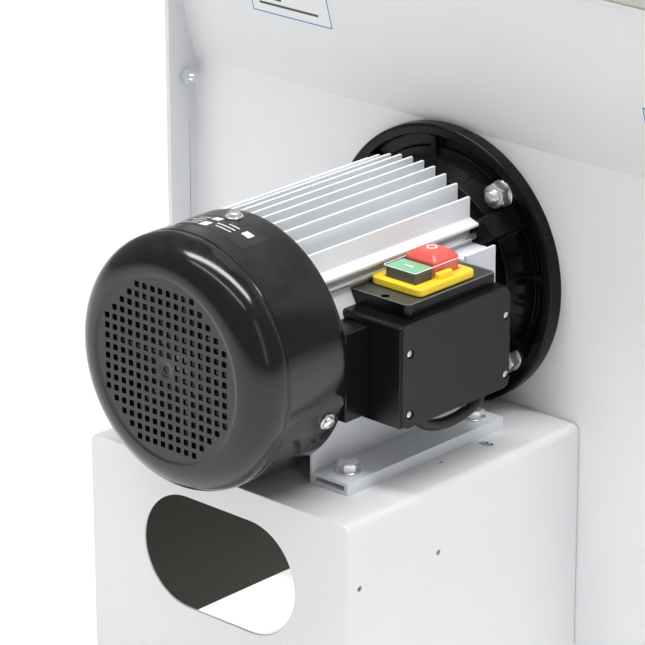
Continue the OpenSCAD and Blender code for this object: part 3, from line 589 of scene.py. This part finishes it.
def makeFeedBelt():
    # Woven carrier with a rough rubber top
    finish = bpy.data.materials.new("feed_belt_cloth")
    finish.use_nodes = True
    tree = finish.node_tree
    shader = tree.nodes["Principled BSDF"]
    place = tree.nodes.new("ShaderNodeTexCoord").outputs["Object"]
    cells = tree.nodes.new("ShaderNodeTexVoronoi")
    cells.inputs["Scale"].default_value = 420.0
    tree.links.new(place, cells.inputs["Vector"])
    patch = noiseNode(tree, place, 14.0, 5.0, 0.6)
    tone = mixTone(tree, cells.outputs["Distance"], (0.035, 0.035, 0.038), (0.09, 0.09, 0.092))
    tone = mixTone(tree, spanNode(tree, patch, 0.45, 0.8, 0.0, 0.45), tone, (0.36, 0.29, 0.2))
    tree.links.new(tone, shader.inputs["Base Color"])
    tree.links.new(spanNode(tree, patch, 0.3, 0.7, 0.7, 0.9), shader.inputs["Roughness"])
    bumped(tree, shader, cells.outputs["Distance"], 0.0006)
    return finish


finishes["clear_plastic"] = makeClearCover()
finishes["abrasive"] = makeAbrasive()
finishes["feed_belt_cloth"] = makeFeedBelt()
slotOf = {row["node"]: row["material_slot"] for row in frame["record"]["subparts"]}
bodyOf = {node: body for body, members in frame["record"]["behaviour"]["bodies"].items() for node in members}
for name, node in nodes.items():
    node.data.materials.clear()
    node.data.materials.append(finishes[slotOf[name]])
print("finishes ready:", len(finishes))


def standIn(node, piece, finish=None):
    # A finished piece that shows in place of one CAD node
    return finished(piece, bodyOf[node], finishes[finish or slotOf[node]], (node,))


def touched(piece, finish, test):
    # Gives the faces that pass the test a second finish
    piece.data.materials.append(finishes[finish])
    last = len(piece.data.materials) - 1
    for face in piece.data.polygons:
        if test(face.center, face.normal):
            face.material_index = last
    return piece


easedNodes = {
    # pieces that only need their edges eased: node and edge radius in metres
    "drive_side_panel": 0.0007, "far_side_panel": 0.0007, "infeed_wall": 0.0007, "outfeed_wall": 0.0007,
    "upper_body": 0.0025, "motor_housing": 0.00022, "front_flange": 0.0007,
    "motor_feet": 0.0005, "access_door": 0.0012,
    "drive_column": 0.0012, "far_column": 0.0012, "column_covers": 0.0007, "table_frame": 0.0006,
    "feed_gearmotor": 0.002, "control_box": 0.003, "guide_bushes": 0.0008,
    "motor_pulley": 0.0006, "drum_pulley": 0.0006, "hood": 0.0008,
    "door_hinge_pins": 0.0004, "hood_hinge_pins": 0.0005, "lift_bearing": 0.0008, "cable_glands": 0.0005,
}


mm = 0.001
motorFrame = Matrix(((1, 0, 0, axisAcross), (0, 0, -1, panelFace), (0, 1, 0, axisHeight), (0, 0, 0, 1)))
gridSetup = {
    "pitch": 7.03,
    "hole": 4.2,
    "rows": [8, 10, 12, 14, 16, 16, 16, 16, 16, 16, 16, 16, 14, 12, 10, 8],  # holes in each row
}
cowlSetup = {"radius": 87.0, "back": 199.0, "face": 278.6, "round": 22.0, "sheet": 2.2}
panSetup = {"radius": 4.4, "height": 3.0, "slot": 0.9, "sink": 1.5}
nutSetup = {
    # corner radius, height
    "flangeNut": (9.2, 8.0),
    "flangeInnerNut": (9.2, 6.0),
    "footHead": (7.5, 5.5),
    "footNut": (7.5, 7.0),
    "lipHead": (5.8, 4.0),
    "lipNut": (5.8, 5.0),
    "levelNut": (10.4, 8.0),
}
cowlScrewAngles = (90, -22, 202)  # degrees round the motor's axis, from the horizontal
coverScrewSetup = {"radius": 2.6, "height": 1.5, "slot": 0.6, "sink": 0.8}
coverScrewSpots = [(out, up) for out in (73, 168.5) for up in (-33, 9)]
flangeSetup = {"boltRadius": 82.5, "turn": 5, "seat": 7.2}


def around(centreR, centreZ, radius, start, end, steps):
    # Points of (radius, height) on a rounded corner of a lathe outline
    points = []
    for step in range(steps + 1):
        angle = math.radians(start + (end - start) * step / steps)
        points.append((centreR + radius * math.cos(angle), centreZ + radius * math.sin(angle)))
    return points


def lathe(name, outline, rings=64, closed=True):
    piece = turnedShape(name, [(radius * mm, height * mm) for radius, height in outline], rings, closed)
    return piece if closed else capped(piece)


def flatBlock(name, low, high):
    return block(name, [part * mm for part in low], [part * mm for part in high])


def placed(piece, frameAt, across=0.0, up=0.0, outward=0.0, turn=0.0):
    # Moves a piece drawn round its own z axis into a frame, in millimetres and degrees
    step = Matrix.Translation((across * mm, up * mm, outward * mm))
    piece.data.transform(frameAt @ turnedAbout("Z", turn) @ step)
    return piece


def machineFrame(x, y, z, toward="Z"):
    # A frame at a place of the machine whose z axis runs along the named direction
    turns = {"Z": 0, "X": 90, "-X": -90}
    place = (axisAcross + x * mm, panelFace + y * mm, z * mm)
    return Matrix.Translation(place) @ turnedAbout("Y", turns[toward])


def turnedAbout(axis, degrees):
    return Matrix.Rotation(math.radians(degrees), 4, axis)


def weighted(piece, angle=35):
    smoothed(piece, angle)
    return applied(piece, "WEIGHTED_NORMAL", keep_sharp=True, mode="FACE_AREA")


def hexPiece(name, corner, height):
    # A hexagon whose corners are turned off at both ends
    deselectAll()
    middle = (0, 0, height * mm / 2)
    bpy.ops.mesh.primitive_cylinder_add(vertices=6, radius=corner * mm, depth=height * mm, location=middle)
    piece = settled(bpy.context.object, name)
    edge = height * 0.13
    inner, outer = corner * 0.88, corner * 1.03
    cone = lathe("cone", [(inner, 0), (outer, edge), (outer, height - edge), (inner, height)], 48, False)
    return eased(carved(piece, cone, "INTERSECT"), 0.00012, 2, 25)


def washerPiece(name, inner, outer, thick):
    edge = 0.25
    outline = [(inner, 0), (outer - edge, 0), (outer, edge)]
    outline += [(outer, thick - edge), (outer - edge, thick), (inner, thick)]
    return smoothed(lathe(name, outline, 48))


def threadedRod(name, radius, low, high, pitch):
    # A rod with rolled rings, its ends slightly pointed
    outline = [(radius * 0.7, low), (radius * 0.86, low + pitch * 0.5)]
    for step in range(int((high - low) / pitch) - 1):
        z = low + pitch * (step + 0.75)
        outline += [(radius, z), (radius, z + pitch * 0.15)]
        outline += [(radius * 0.88, z + pitch * 0.55), (radius * 0.88, z + pitch * 0.7)]
    outline += [(radius * 0.86, high - pitch * 0.4), (radius * 0.7, high)]
    return smoothed(lathe(name, outline, 32, False), 50)


def panHead(name, radius, height, slot, sink):
    # A domed head with a cross recess
    head = lathe(name, [
        (radius * 0.93, 0), (radius, height * 0.12), (radius, height * 0.42), (radius * 0.93, height * 0.68),
        (radius * 0.78, height * 0.86), (radius * 0.5, height * 0.97), (radius * 0.2, height)], 40, False)
    reach = radius * 0.62
    bars = [
        flatBlock("barA", (-reach, -slot / 2, height - sink), (reach, slot / 2, height + 1)),
        flatBlock("barB", (-slot / 2, -reach, height - sink), (slot / 2, reach, height + 1)),
    ]
    carved(head, carved(bars[0], bars[1], "UNION"))
    return smoothed(head, 40)


def cowlSide(angle):
    # A frame that looks outwards through the cowl's side at one of its screws
    return turnedAbout("Z", angle) @ Matrix.Translation((0, 0, 0.213)) @ turnedAbout("Y", 90)


# fan cowl: a spun shell with a rolled groove at its shoulder and a punched grille
def makeCowl(setup, grid):
    r, back, face, bend, sheet = (setup[key] for key in ("radius", "back", "face", "round", "sheet"))
    outline = [(r - sheet, back), (r - 0.5, back), (r, back + 0.7), (r, back + 4.2), (r, face - bend - 5)]
    groove = face - bend
    outline += [(r - 0.1, groove - 3.6), (r - 0.55, groove - 3.0)]
    outline += [(r - 0.55, groove - 2.2), (r - 0.1, groove - 1.5)]
    flat = r - bend
    outline += around(flat, face - bend, bend, 2, 84, 12)
    outline += [(flat, face), (flat - 1.2, face - 0.12), (flat - 2.4, face - 0.6), (flat - 4.0, face - 0.75)]
    outline += [(30, face - 0.75), (6.5, face - 0.75), (5.0, face - 1.4), (2.6, face - 1.6)]
    outline += [(2.6, face - sheet - 0.6), (flat - 4, face - sheet - 0.6)]
    outline += around(flat, face - bend, bend - sheet, 88, 2, 8)
    piece = lathe("fan_cowl_spun", outline, 128)
    low, high = -grid["hole"] / 2, grid["hole"] / 2
    punch = flatBlock("punch", (low, low, face - 8), (high, high, face + 8))
    pick(punch, lambda a, b: abs((a - b).z) > 0.01, "edges")
    bpy.ops.mesh.bevel(offset=0.0007, segments=2)
    closeMesh()
    punches = []
    half = (len(grid["rows"]) - 1) / 2
    for row, count in enumerate(grid["rows"]):
        for column in range(len(grid["rows"])):
            across, up = column - half, row - half
            boss = abs(across) < 1 and abs(up) < 1  # the middle four stay closed
            if abs(across) < count / 2 and not boss:
                punches.append(copied(punch, (across * grid["pitch"] * mm, up * grid["pitch"] * mm, 0)))
    bpy.data.objects.remove(punch)
    carved(piece, joined(punches, "punches"))
    holes = []
    for angle in cowlScrewAngles:
        holes.append(placed(lathe("hole", [(2.8, 70), (2.8, 95)], 24, False), cowlSide(angle)))
    carved(piece, joined(holes, "holes"))
    tidyMesh(piece)
    return weighted(placed(piece, motorFrame), 40)


standIn("fan_cowl", makeCowl(cowlSetup, gridSetup))


def makeCowlScrews(setup):
    parts = []
    for angle in cowlScrewAngles:
        side = motorFrame @ cowlSide(angle)
        rod = threadedRod("rod", 2.5, 77, 87.5, 0.8)
        washer = washerPiece("washer", 2.4, 6.0, 1.2)
        head = panHead("head", **setup)
        parts += [placed(rod, side), placed(washer, side, outward=87), placed(head, side, outward=88.2)]
    return joined(parts, "cowl_screws_drawn")


standIn("cowl_screws", makeCowlScrews(panSetup))


def makeFlangeNuts(setup, flange):
    parts = []
    out, seat = flange["boltRadius"], flange["seat"]
    for angle in (45, 135, 225, 315):
        spin = flange["turn"] + angle
        nut = hexPiece("nut", *setup["flangeNut"])
        nut.data.transform(turnedAbout("Z", angle * 0.4))
        parts.append(placed(nut, motorFrame, out, 0, seat + 2, spin))
        parts.append(placed(hexPiece("inner", *setup["flangeInnerNut"]), motorFrame, out, 0, -8, spin))
        parts.append(placed(washerPiece("washer", 4.9, 9.5, 2.0), motorFrame, out, 0, seat, spin))
        parts.append(placed(threadedRod("stud", 5.0, -8, 22, 1.5), motorFrame, out, 0, 0, spin))
    return joined(parts, "flange_nuts_drawn")


standIn("flange_nuts", makeFlangeNuts(nutSetup, flangeSetup))


def makeFootBolts(setup):
    parts = []
    for x in (-70, 70):
        for out in (55.5, 180.5):
            at = machineFrame(x, -out, 210)
            head = hexPiece("head", *setup["footHead"])
            head.data.transform(turnedAbout("Z", 20 + out))
            ring = [(4.6, 15.7), (4.4, 16.0), (3.9, 16.0), (3.7, 15.85), (0.4, 15.85)]
            crown = lathe("crown", ring, 32, False)
            parts += [placed(head, at, outward=10.3), placed(crown, at)]
            parts.append(placed(washerPiece("washer", 4.2, 8.5, 1.6), at, outward=8.7))
            parts.append(placed(threadedRod("shank", 4.0, -18, 9, 1.25), at))
            parts.append(placed(hexPiece("nut", *setup["footNut"]), at, outward=-9))
    return joined(parts, "foot_bolts_drawn")


standIn("foot_bolts", makeFootBolts(nutSetup))


def makeLipBolts(setup):
    parts = []
    for x, toward in ((-249, "X"), (249, "-X")):
        for y in (-10.5, 630.5):
            for z in (85, 235, 385):
                at = machineFrame(x, y, z, toward)
                parts.append(placed(hexPiece("head", *setup["lipHead"]), at, outward=-4))
                parts.append(placed(threadedRod("shank", 3.0, 0, 14, 1.0), at))
                parts.append(placed(washerPiece("washer", 3.0, 6.5, 1.2), at, outward=4))
                parts.append(placed(hexPiece("nut", *setup["lipNut"]), at, outward=5.2))
    return joined(parts, "lip_bolts_drawn")


standIn("lip_bolts", makeLipBolts(nutSetup))
print("cowl and bolts drawn")


# switch box: drawn lying in the motor's frame, x across, y up, z outward
def alongAxis(index):
    def test(a, b):
        gap = b - a
        sideways = [abs(gap[other]) for other in range(3) if other != index]
        return abs(gap[index]) > 0.001 and max(sideways) < 0.00002
    return test


def rounded(piece, test, width, segments=5):
    pick(piece, test, "edges")
    bpy.ops.mesh.bevel(offset=width * mm, segments=segments)
    closeMesh()
    return piece


boxSetup = {
    # x across, y up, z outward, in millimetres from the motor's axis and the panel
    "body": ((50, -42, 70), (111, 28.3, 176)),
    "platform": ((53, 20, 74), (105, 38.3, 162)),
    "topRound": 3.4,
    "platformRound": 4.2,
    "rim": 1.1,
    "recess": 0.45,
    "housingRadius": 66.05,
}


def makeBox(setup):
    body = flatBlock("boxBody", *setup["body"])
    rounded(body, lambda a, b: all(p.z > 0.1759 and p.y > 0.0282 for p in (a, b)), setup["topRound"], 6)
    eased(body, 0.0009, 3, 30)
    platform = flatBlock("platform", *setup["platform"])
    rounded(platform, alongAxis(1), setup["platformRound"], 6)
    pick(platform, lambda centre, normal: normal.y > 0.9)
    bpy.ops.mesh.inset(thickness=setup["rim"] * mm, depth=-setup["recess"] * mm)
    closeMesh()
    eased(platform, 0.00025, 2, 30)
    carved(body, platform, "UNION")
    core = lathe("core", [(setup["housingRadius"], 30), (setup["housingRadius"], 220)], 128, False)
    carved(body, core)
    eye = lathe("eye", [(2.9, 0), (2.9, 10)], 24, False)
    eye.data.transform(Matrix.Translation((0.0812, 0.0345, 0.1573)) @ turnedAbout("X", -90))
    carved(body, eye)
    body.data.transform(motorFrame)
    tidyMesh(body)
    body.name = "terminal_box_drawn"
    return weighted(body)


box = standIn("terminal_box", makeBox(boxSetup))
platformTop = axisHeight + boxSetup["platform"][1][1] * mm
platformFloor = platformTop - boxSetup["recess"] * mm
onFloor = lambda centre, normal: normal.z > 0.9 and abs(centre.z - platformFloor) < 0.0001
touched(box, "platform_grey", onFloor)
# The rim's top faces are painted pale: a painted highlight along the platform's edge
touched(box, "platform_rim_painted_highlight", lambda centre, normal: normal.z > 0.3 and centre.z > platformTop - 0.0004)


def makeBoxShoulder():
    # Dark filler between the box and the cowl
    cowlRear = (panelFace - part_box("fan_cowl")[1].y) / mm
    filler = flatBlock("boxShoulder", (54, -38, 175.8), (84, 23, cowlRear - 0.4))
    carved(filler, lathe("core", [(66.2, 100), (66.2, 230)], 96, False))
    eased(filler, 0.0008, 3, 40)
    filler.data.transform(motorFrame)
    return finished(weighted(filler), "machine", finishes["box_plastic"])


makeBoxShoulder()


def coverSide(out, up):
    # A frame that looks outwards through the cover at one of its screws
    return Matrix.Translation((0, up * mm, out * mm)) @ turnedAbout("Y", 90)


def makeCover():
    # As wide and tall as the box's outer side
    low, high = boxSetup["body"]
    plate = flatBlock("terminal_cover_drawn", (high[0], low[1], low[2]), (high[0] + 2.5, high[1], high[2]))
    rounded(plate, alongAxis(0), 6, 6)
    for out, up in coverScrewSpots:
        carved(plate, placed(lathe("hole", [(3.2, 100), (3.2, 120)], 32, False), coverSide(out, up)))
    eased(plate, 0.0004, 3, 40)
    plate.data.transform(motorFrame)
    standIn("terminal_cover", weighted(plate), "cover_plastic")


makeCover()


def makeCoverScrews():
    parts = []
    for out, up in coverScrewSpots:
        side = motorFrame @ coverSide(out, up)
        parts.append(placed(threadedRod("shank", 1.95, 103, 111.6, 0.7), side))
        parts.append(placed(panHead("head", **coverScrewSetup), side, outward=111.1))
    return joined(parts, "cover_screws_drawn")


standIn("cover_screws", makeCoverScrews())


switchSetup = {
    # x across, y up, z outward, in millimetres from the motor's axis and the panel
    "plate": ((58.1, 38.3, 91.5), (102, 43.8, 147)),
    "tab": ((93.6, 42, 110), (98.4, 47.6, 124)),
    "windows": [((65.4, 30, 97), (92.6, 50, 121.8)), ((65.4, 30, 122.8), (92.6, 50, 141.1))],
    "start": ((65.8, 41.8, 123.2), (92.2, 51.2, 140.7)),
    "stop": ((65.8, 41.8, 97.4), (92.2, 52.4, 121.4)),
    "cushion": [(0.5, 0.985), (3.6, 0.76), (1.5, 0.72)],  # rise and scale of each step up the stop button
    "skirt": ((64.6, 43.8, 96), (93.4, 51.6, 142)),
    "skirtBore": ((65.4, 40, 96.8), (92.6, 60, 141.3)),
}


def makePlate(setup):
    plate = flatBlock("switch_plate_drawn", *setup["plate"])
    rounded(plate, alongAxis(1), 4.5, 6)
    tab = flatBlock("tab", *setup["tab"])
    rounded(tab, alongAxis(1), 1.6, 4)
    eased(tab, 0.0006, 3, 40)
    for low, high in setup["windows"]:
        carved(plate, flatBlock("window", low, high))
    tidyMesh(plate)
    eased(plate, 0.0011, 4, 40)
    plate = joined([plate, tab], "switch_plate_drawn")
    plate.data.transform(motorFrame)
    return weighted(plate)


standIn("switch_plate", makePlate(switchSetup))


def makeStart(setup):
    cap = flatBlock("start_button_drawn", *setup["start"])
    rounded(cap, alongAxis(1), 2, 4)
    eased(cap, 0.0007, 3, 40)
    cap.data.transform(motorFrame)
    return weighted(cap)


def makeStop(setup):
    # A square mushroom: upright sides, then a cushion that narrows to a flat top
    cap = flatBlock("stop_button_drawn", *setup["stop"])
    rounded(cap, alongAxis(1), 2, 4)
    pick(cap, lambda centre, normal: normal.y > 0.9)
    for rise, grow in setup["cushion"]:
        bpy.ops.mesh.extrude_region_move(TRANSFORM_OT_translate={"value": (0, rise * mm, 0)})
        bpy.ops.transform.resize(value=(grow, 1, grow))
    closeMesh()
    eased(cap, 0.0009, 3, 12)
    cap.data.transform(motorFrame)
    return weighted(cap, 60)


def makeGuard(setup):
    # The clear skirt round both buttons
    skirt = flatBlock("switch_guard_drawn", *setup["skirt"])
    rounded(skirt, alongAxis(1), 2.5, 4)
    core = flatBlock("core", *setup["skirtBore"])
    rounded(core, alongAxis(1), 1.8, 4)
    carved(skirt, core)
    eased(skirt, 0.00025, 2, 40)
    skirt.data.transform(motorFrame)
    return weighted(tidyMesh(skirt))


start = standIn("start_button", makeStart(switchSetup))
touched(start, "black_plastic", lambda centre, normal: centre.z < axisHeight + 0.0496)
standIn("stop_button", makeStop(switchSetup))
guard = standIn("switch_guard", makeGuard(switchSetup))
# The guard's top faces are painted pale: a painted highlight along its rim
touched(guard, "guard_rim_painted_highlight", lambda centre, normal: centre.z > axisHeight + 0.0513)


def makeMarks():
    # Raised marks on the two buttons
    startLow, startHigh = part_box("start_button")
    stopLow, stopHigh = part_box("stop_button")
    middle = (startLow + startHigh) / 2
    bar = block("startMark", (middle.x - 0.004, middle.y - 0.0007, startHigh.z - 0.0002),
                (middle.x + 0.004, middle.y + 0.0007, startHigh.z + 0.00015))
    finished(eased(bar, 0.0003, 3), bodyOf["start_button"], finishes["mark_white"])
    centre = (stopLow + stopHigh) / 2
    outline = [(2.6, -0.2), (3.7, -0.2), (3.7, 0.12), (3.55, 0.25), (2.75, 0.25), (2.6, 0.12)]
    ring = lathe("stopMark", outline, 48)
    ring.data.transform(Matrix.Translation((centre.x, centre.y, stopHigh.z)))
    finished(smoothed(ring), bodyOf["stop_button"], finishes["mark_white"])


makeMarks()


def makeLead():
    # The short lead bends from one gland to the other under the box
    path = [
        (88, -72, -46), (88, -72, -49), (88.2, -71, -52), (88.5, -71.4, -55.6), (89, -75, -59.2),
        (89, -82.5, -61.9), (89, -93, -63.8), (89, -105, -64.3), (89, -117, -62.7), (89, -127, -58.9),
        (88.6, -134, -53.6), (88, -138, -49), (88, -138, -46),
    ]
    deselectAll()
    bpy.ops.curve.primitive_nurbs_path_add(location=(0, 0, 0))
    piece = bpy.context.object
    line = piece.data
    line.splines.clear()
    strand = line.splines.new("NURBS")
    strand.points.add(len(path) - 1)
    for point, place in zip(strand.points, path):
        point.co = (axisAcross + place[0] * mm, panelFace + place[1] * mm, axisHeight + place[2] * mm, 1)
    strand.use_endpoint_u = True
    strand.order_u = 3
    line.dimensions = "3D"
    line.bevel_depth = 0.004
    line.bevel_resolution = 7
    line.resolution_u = 6
    line.use_fill_caps = True
    bpy.ops.object.convert(target="MESH")
    piece = settled(bpy.context.object, "switch_lead_drawn")
    return smoothed(tidyMesh(piece), 60)


standIn("switch_lead", makeLead())
print("switch box drawn")


# console: pale paint outside, and a dark finish on its inner faces as painted shade
def makeConsole():
    piece = softened("motor_console", 0.0009, 3, 38)
    weighted(piece)
    standIn("motor_console", piece)
    # The inner faces get a dark finish: painted shade where little light reaches
    piece.data.materials.append(finishes["interior_painted_shade"])
    low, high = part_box("motor_console")

    def inside(centre, normal):
        middle = (low.x + high.x) / 2
        inward = normal.z < -0.3 or (centre.x - middle) * normal.x < -0.01 or normal.y > 0.5
        return inward and centre.y > low.y + 0.0012 and centre.z > low.z + 0.0008

    pick(piece, inside)
    piece.active_material_index = 1
    bpy.ops.object.material_slot_assign()
    closeMesh()


makeConsole()


# labels: pale plates with a rim and plain bars in place of text
def plateLabel(name, width, height, rim, bars):
    # Drawn flat with its lower left corner at the origin; bars are (left, low, right, high)
    parts = []
    base = flatBlock(name + "Base", (0, 0, 0), (width, height, 0.12))
    base.data.materials.append(finishes["label_white"])
    parts.append(base)
    edges = [((0, 0), (width, rim)), ((0, height - rim), (width, height))]
    edges += [((0, rim), (rim, height - rim)), ((width - rim, rim), (width, height - rim))]
    for low, high in edges:
        edge = flatBlock(name + "Rim", (*low, 0.12), (*high, 0.16))
        edge.data.materials.append(finishes["label_blue"])
        parts.append(edge)
    for left, low, right, high in bars:
        bar = flatBlock(name + "Bar", (left, low, 0.12), (right, high, 0.15))
        bar.data.materials.append(finishes["label_ink"])
        parts.append(bar)
    return joined(parts, name)


def onLean(across, along):
    # A frame that lies on the leaning part of the drive side panel, its y axis running up the slope
    lean = math.atan2(35.5, 127.0)
    turn = turnedAbout("X", 90 + math.degrees(lean))
    foot = fromMotor(across * mm, along * mm * math.sin(lean), 0.0975 + along * mm * math.cos(lean))
    return Matrix.Translation(foot) @ turn


leftLabel = plateLabel("panelLabelLeft", 75.5, 52, 0.9, [
    (8, 40, 66, 43), (8, 33, 52, 35), (8, 27, 60, 29), (8, 21, 40, 23), (8, 12, 30, 14), (8, 7, 64, 9)])
leftLabel.data.transform(onLean(-171.5, 54.5))
finished(leftLabel, "machine", None)
rightLabel = plateLabel("panelLabelRight", 52, 30, 0.9, [
    (6, 22, 44, 24), (6, 16, 38, 18), (6, 10, 42, 12), (6, 5, 26, 7)])
rightLabel.data.transform(onLean(176, 27))
finished(rightLabel, "machine", None)


def cowlPatch(name, start, end, low, high, inner, outer, tone):
    # A thin piece of a ring on the cowl, between two angles
    ring = lathe(name, [(inner, low), (outer, low), (outer, high), (inner, high)], 240)

    def beyond(centre, normal):
        angle = math.degrees(math.atan2(centre.y, centre.x))
        return not start < angle < end

    pick(ring, beyond)
    bpy.ops.mesh.delete(type="FACE")
    bpy.ops.mesh.select_all(action="SELECT")
    bpy.ops.mesh.fill_holes(sides=0)
    closeMesh()
    ring.data.materials.append(finishes[tone])
    return tidyMesh(ring)


def makeRatingLabel():
    # The rating plate on top of the cowl, dark with pale fields
    parts = [cowlPatch("rate", 68, 108, 217, 240, 86.8, 87.12, "label_ink")]
    fields = [
        # start and end angle, low and high edge
        (72, 76, 222, 228), (79, 88, 232, 233), (79, 90, 228, 229), (79, 86, 224, 225),
        (92, 96, 230, 237), (92, 96, 220, 225), (98, 106, 234, 235), (98, 104, 230, 231),
        (98, 106, 226, 227), (98, 105, 222, 223),
    ]
    for start, end, low, high in fields:
        parts.append(cowlPatch("field", start, end, low, high, 87.0, 87.16, "label_white"))
    return finished(placed(smoothed(joined(parts, "ratingLabel")), motorFrame), "machine", None)


makeRatingLabel()
print("labels drawn")


# upper machine
def facingX(x, y, z):
    # A frame whose z axis runs along the machine's x
    return Matrix.Translation((x, y, z)) @ turnedAbout("Y", 90)


def makeWheel():
    # Cast rim, three dished spokes and a hub; the shaft, gear and crank pin are turned steel
    rim = lathe("rim", around(66, 0, 8, 0, 330, 11), 96)
    hub = lathe("hub", [
        (9, -12), (16, -12), (18, -10), (18, 14), (15, 18),
        (9, 18), (9, 16.5), (8.2, 16.5), (8.2, -11), (9, -11),
    ], 48)
    parts = [rim, hub]
    for angle in (0, 120, 240):
        spoke = flatBlock("spoke", (14, -8, -4), (61, 8, 4))
        pick(spoke, lambda centre, normal: normal.x > 0.9)
        bpy.ops.transform.resize(value=(1, 0.62, 0.8))
        closeMesh()
        eased(spoke, 0.0022, 4, 30)
        parts.append(placed(spoke, Matrix.Identity(4), turn=angle))
    wheel = joined(parts, "handwheel_rim")
    low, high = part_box("handwheel")
    at = facingX(low.x + 0.036, (low.y + high.y) / 2, (low.z + high.z) / 2)
    wheel.data.transform(at)
    standIn("handwheel", weighted(wheel, 45))
    crank = lathe("crank", [(3.5, -36), (4, -35), (4, -2), (6, -1), (6, 6), (3, 6)], 32, False)
    steel = [
        lathe("shaft", [(7, 10), (8, 11), (8, 270.5), (7, 271.5)], 48, False),
        lathe("pinion", [(16, 260), (16, 272), (23.6, 272.2), (15.6, 280), (8, 280)], 64, False),
        placed(crank, Matrix.Identity(4), up=66),
    ]
    turned = joined(steel, "handwheel_shaft")
    turned.data.transform(at)
    finished(smoothed(turned), bodyOf["handwheel"], finishes["bright_steel"])


def makeGrip():
    low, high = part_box("handwheel_grip")
    grip = lathe("handwheel_grip_turned", [
        (4.2, 5.5), (4.2, 33), (7.6, 33), (8.4, 32.4), (9.3, 30), (9.0, 26), (9.2, 22), (10.2, 14),
        (10.5, 9), (10.1, 4), (9.2, 1.4), (7.8, 0.3), (5.0, 0), (0.4, 0), (0.4, 5.5),
    ])
    grip.data.transform(facingX(low.x, (low.y + high.y) / 2, (low.z + high.z) / 2))
    return smoothed(grip, 50)


def makeKnob():
    # A fluted dial with a pointer line
    low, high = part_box("speed_knob")
    body = lathe("dial", [
        (3.9, 0.6), (10.5, 0.6), (11.5, 0), (13.2, 0), (14.2, 0.8),
        (15, 12), (15, 17.5), (4, 17.5), (4, 36), (2, 36),
    ], 72, False)
    flutes = []
    for step in range(18):
        flute = lathe("flute", [(1.1, -2), (1.1, 13)], 16, False)
        flutes.append(placed(flute, Matrix.Identity(4), across=15.4, turn=step * 20 + 10))
    carved(body, joined(flutes, "flutes"))
    ridge = flatBlock("ridge", (-15.4, -0.9, 0.2), (-9, 0.9, 17.3))
    knob = joined([tidyMesh(body), eased(ridge, 0.0003)], "speed_knob_drawn")
    at = facingX(low.x, (low.y + high.y) / 2, high.z - 0.015)
    knob.data.transform(at)
    standIn("speed_knob", weighted(knob, 40))
    line = flatBlock("pointer", (-13.6, -0.6, -0.15), (-5, 0.6, 0.7))
    line.data.transform(at)
    finished(smoothed(eased(line, 0.0002)), bodyOf["speed_knob"], finishes["mark_white"])
    spot = facingX(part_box("control_box")[0].x, at.translation.y, at.translation.z)
    ticks = []
    for step in range(11):
        tick = flatBlock("tick", (-21.5, -0.45, -0.1), (-18.2, 0.45, 0.1))
        ticks.append(placed(tick, spot, turn=step * 27))
    finished(joined(ticks, "dialTicks"), "machine", finishes["mark_white"])


def makeFeet(setup):
    parts = []
    for x in (-200, 200):
        for y in (50, 570):
            at = machineFrame(x, y, 0)
            pad = lathe("pad", [
                (12, 0), (29.4, 0), (30, 0.8), (30, 5.2), (29, 6.6), (15.5, 13.2), (13.5, 14), (3, 14),
            ], 64, False)
            parts += [placed(pad, at), placed(threadedRod("stem", 6, 13, 70, 1.75), at)]
            for height in (36, 47):
                parts.append(placed(hexPiece("nut", *setup["levelNut"]), at, outward=height))
    return smoothed(joined(parts, "levelling_feet_drawn"))


def makeScale():
    # A depth scale on the drive column
    columnLow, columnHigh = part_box("drive_column")
    face, edge = columnLow.x, columnHigh.y
    strip = block("scaleStrip", (face - 0.0006, edge - 0.03, 0.70), (face + 0.0002, edge - 0.008, 0.86))
    finished(eased(strip, 0.0002), "machine", finishes["label_white"])
    ticks = []
    for step in range(31):
        reach = 0.012 if step % 10 == 0 else 0.009 if step % 5 == 0 else 0.006
        z = 0.705 + step * 0.005
        right = edge - 0.0095
        corner = (face - 0.00075, right - reach, z - 0.0003)
        ticks.append(block("tick", corner, (face - 0.0005, right, z + 0.0003)))
    finished(joined(ticks, "scaleTicks"), "machine", finishes["label_ink"])


makeWheel()
standIn("handwheel_grip", makeGrip())
makeKnob()
standIn("levelling_feet", makeFeet(nutSetup))
makeScale()
standIn("cooling_fan", weighted(softened("cooling_fan", 0.0003)), "fan_plastic")
print("upper machine drawn")

for name, width in easedNodes.items():
    angle = 4 if name.endswith("side_panel") else 35  # the fold of a side panel stays crisp
    standIn(name, weighted(softened(name, width), angle))
print("eased:", len(easedNodes))
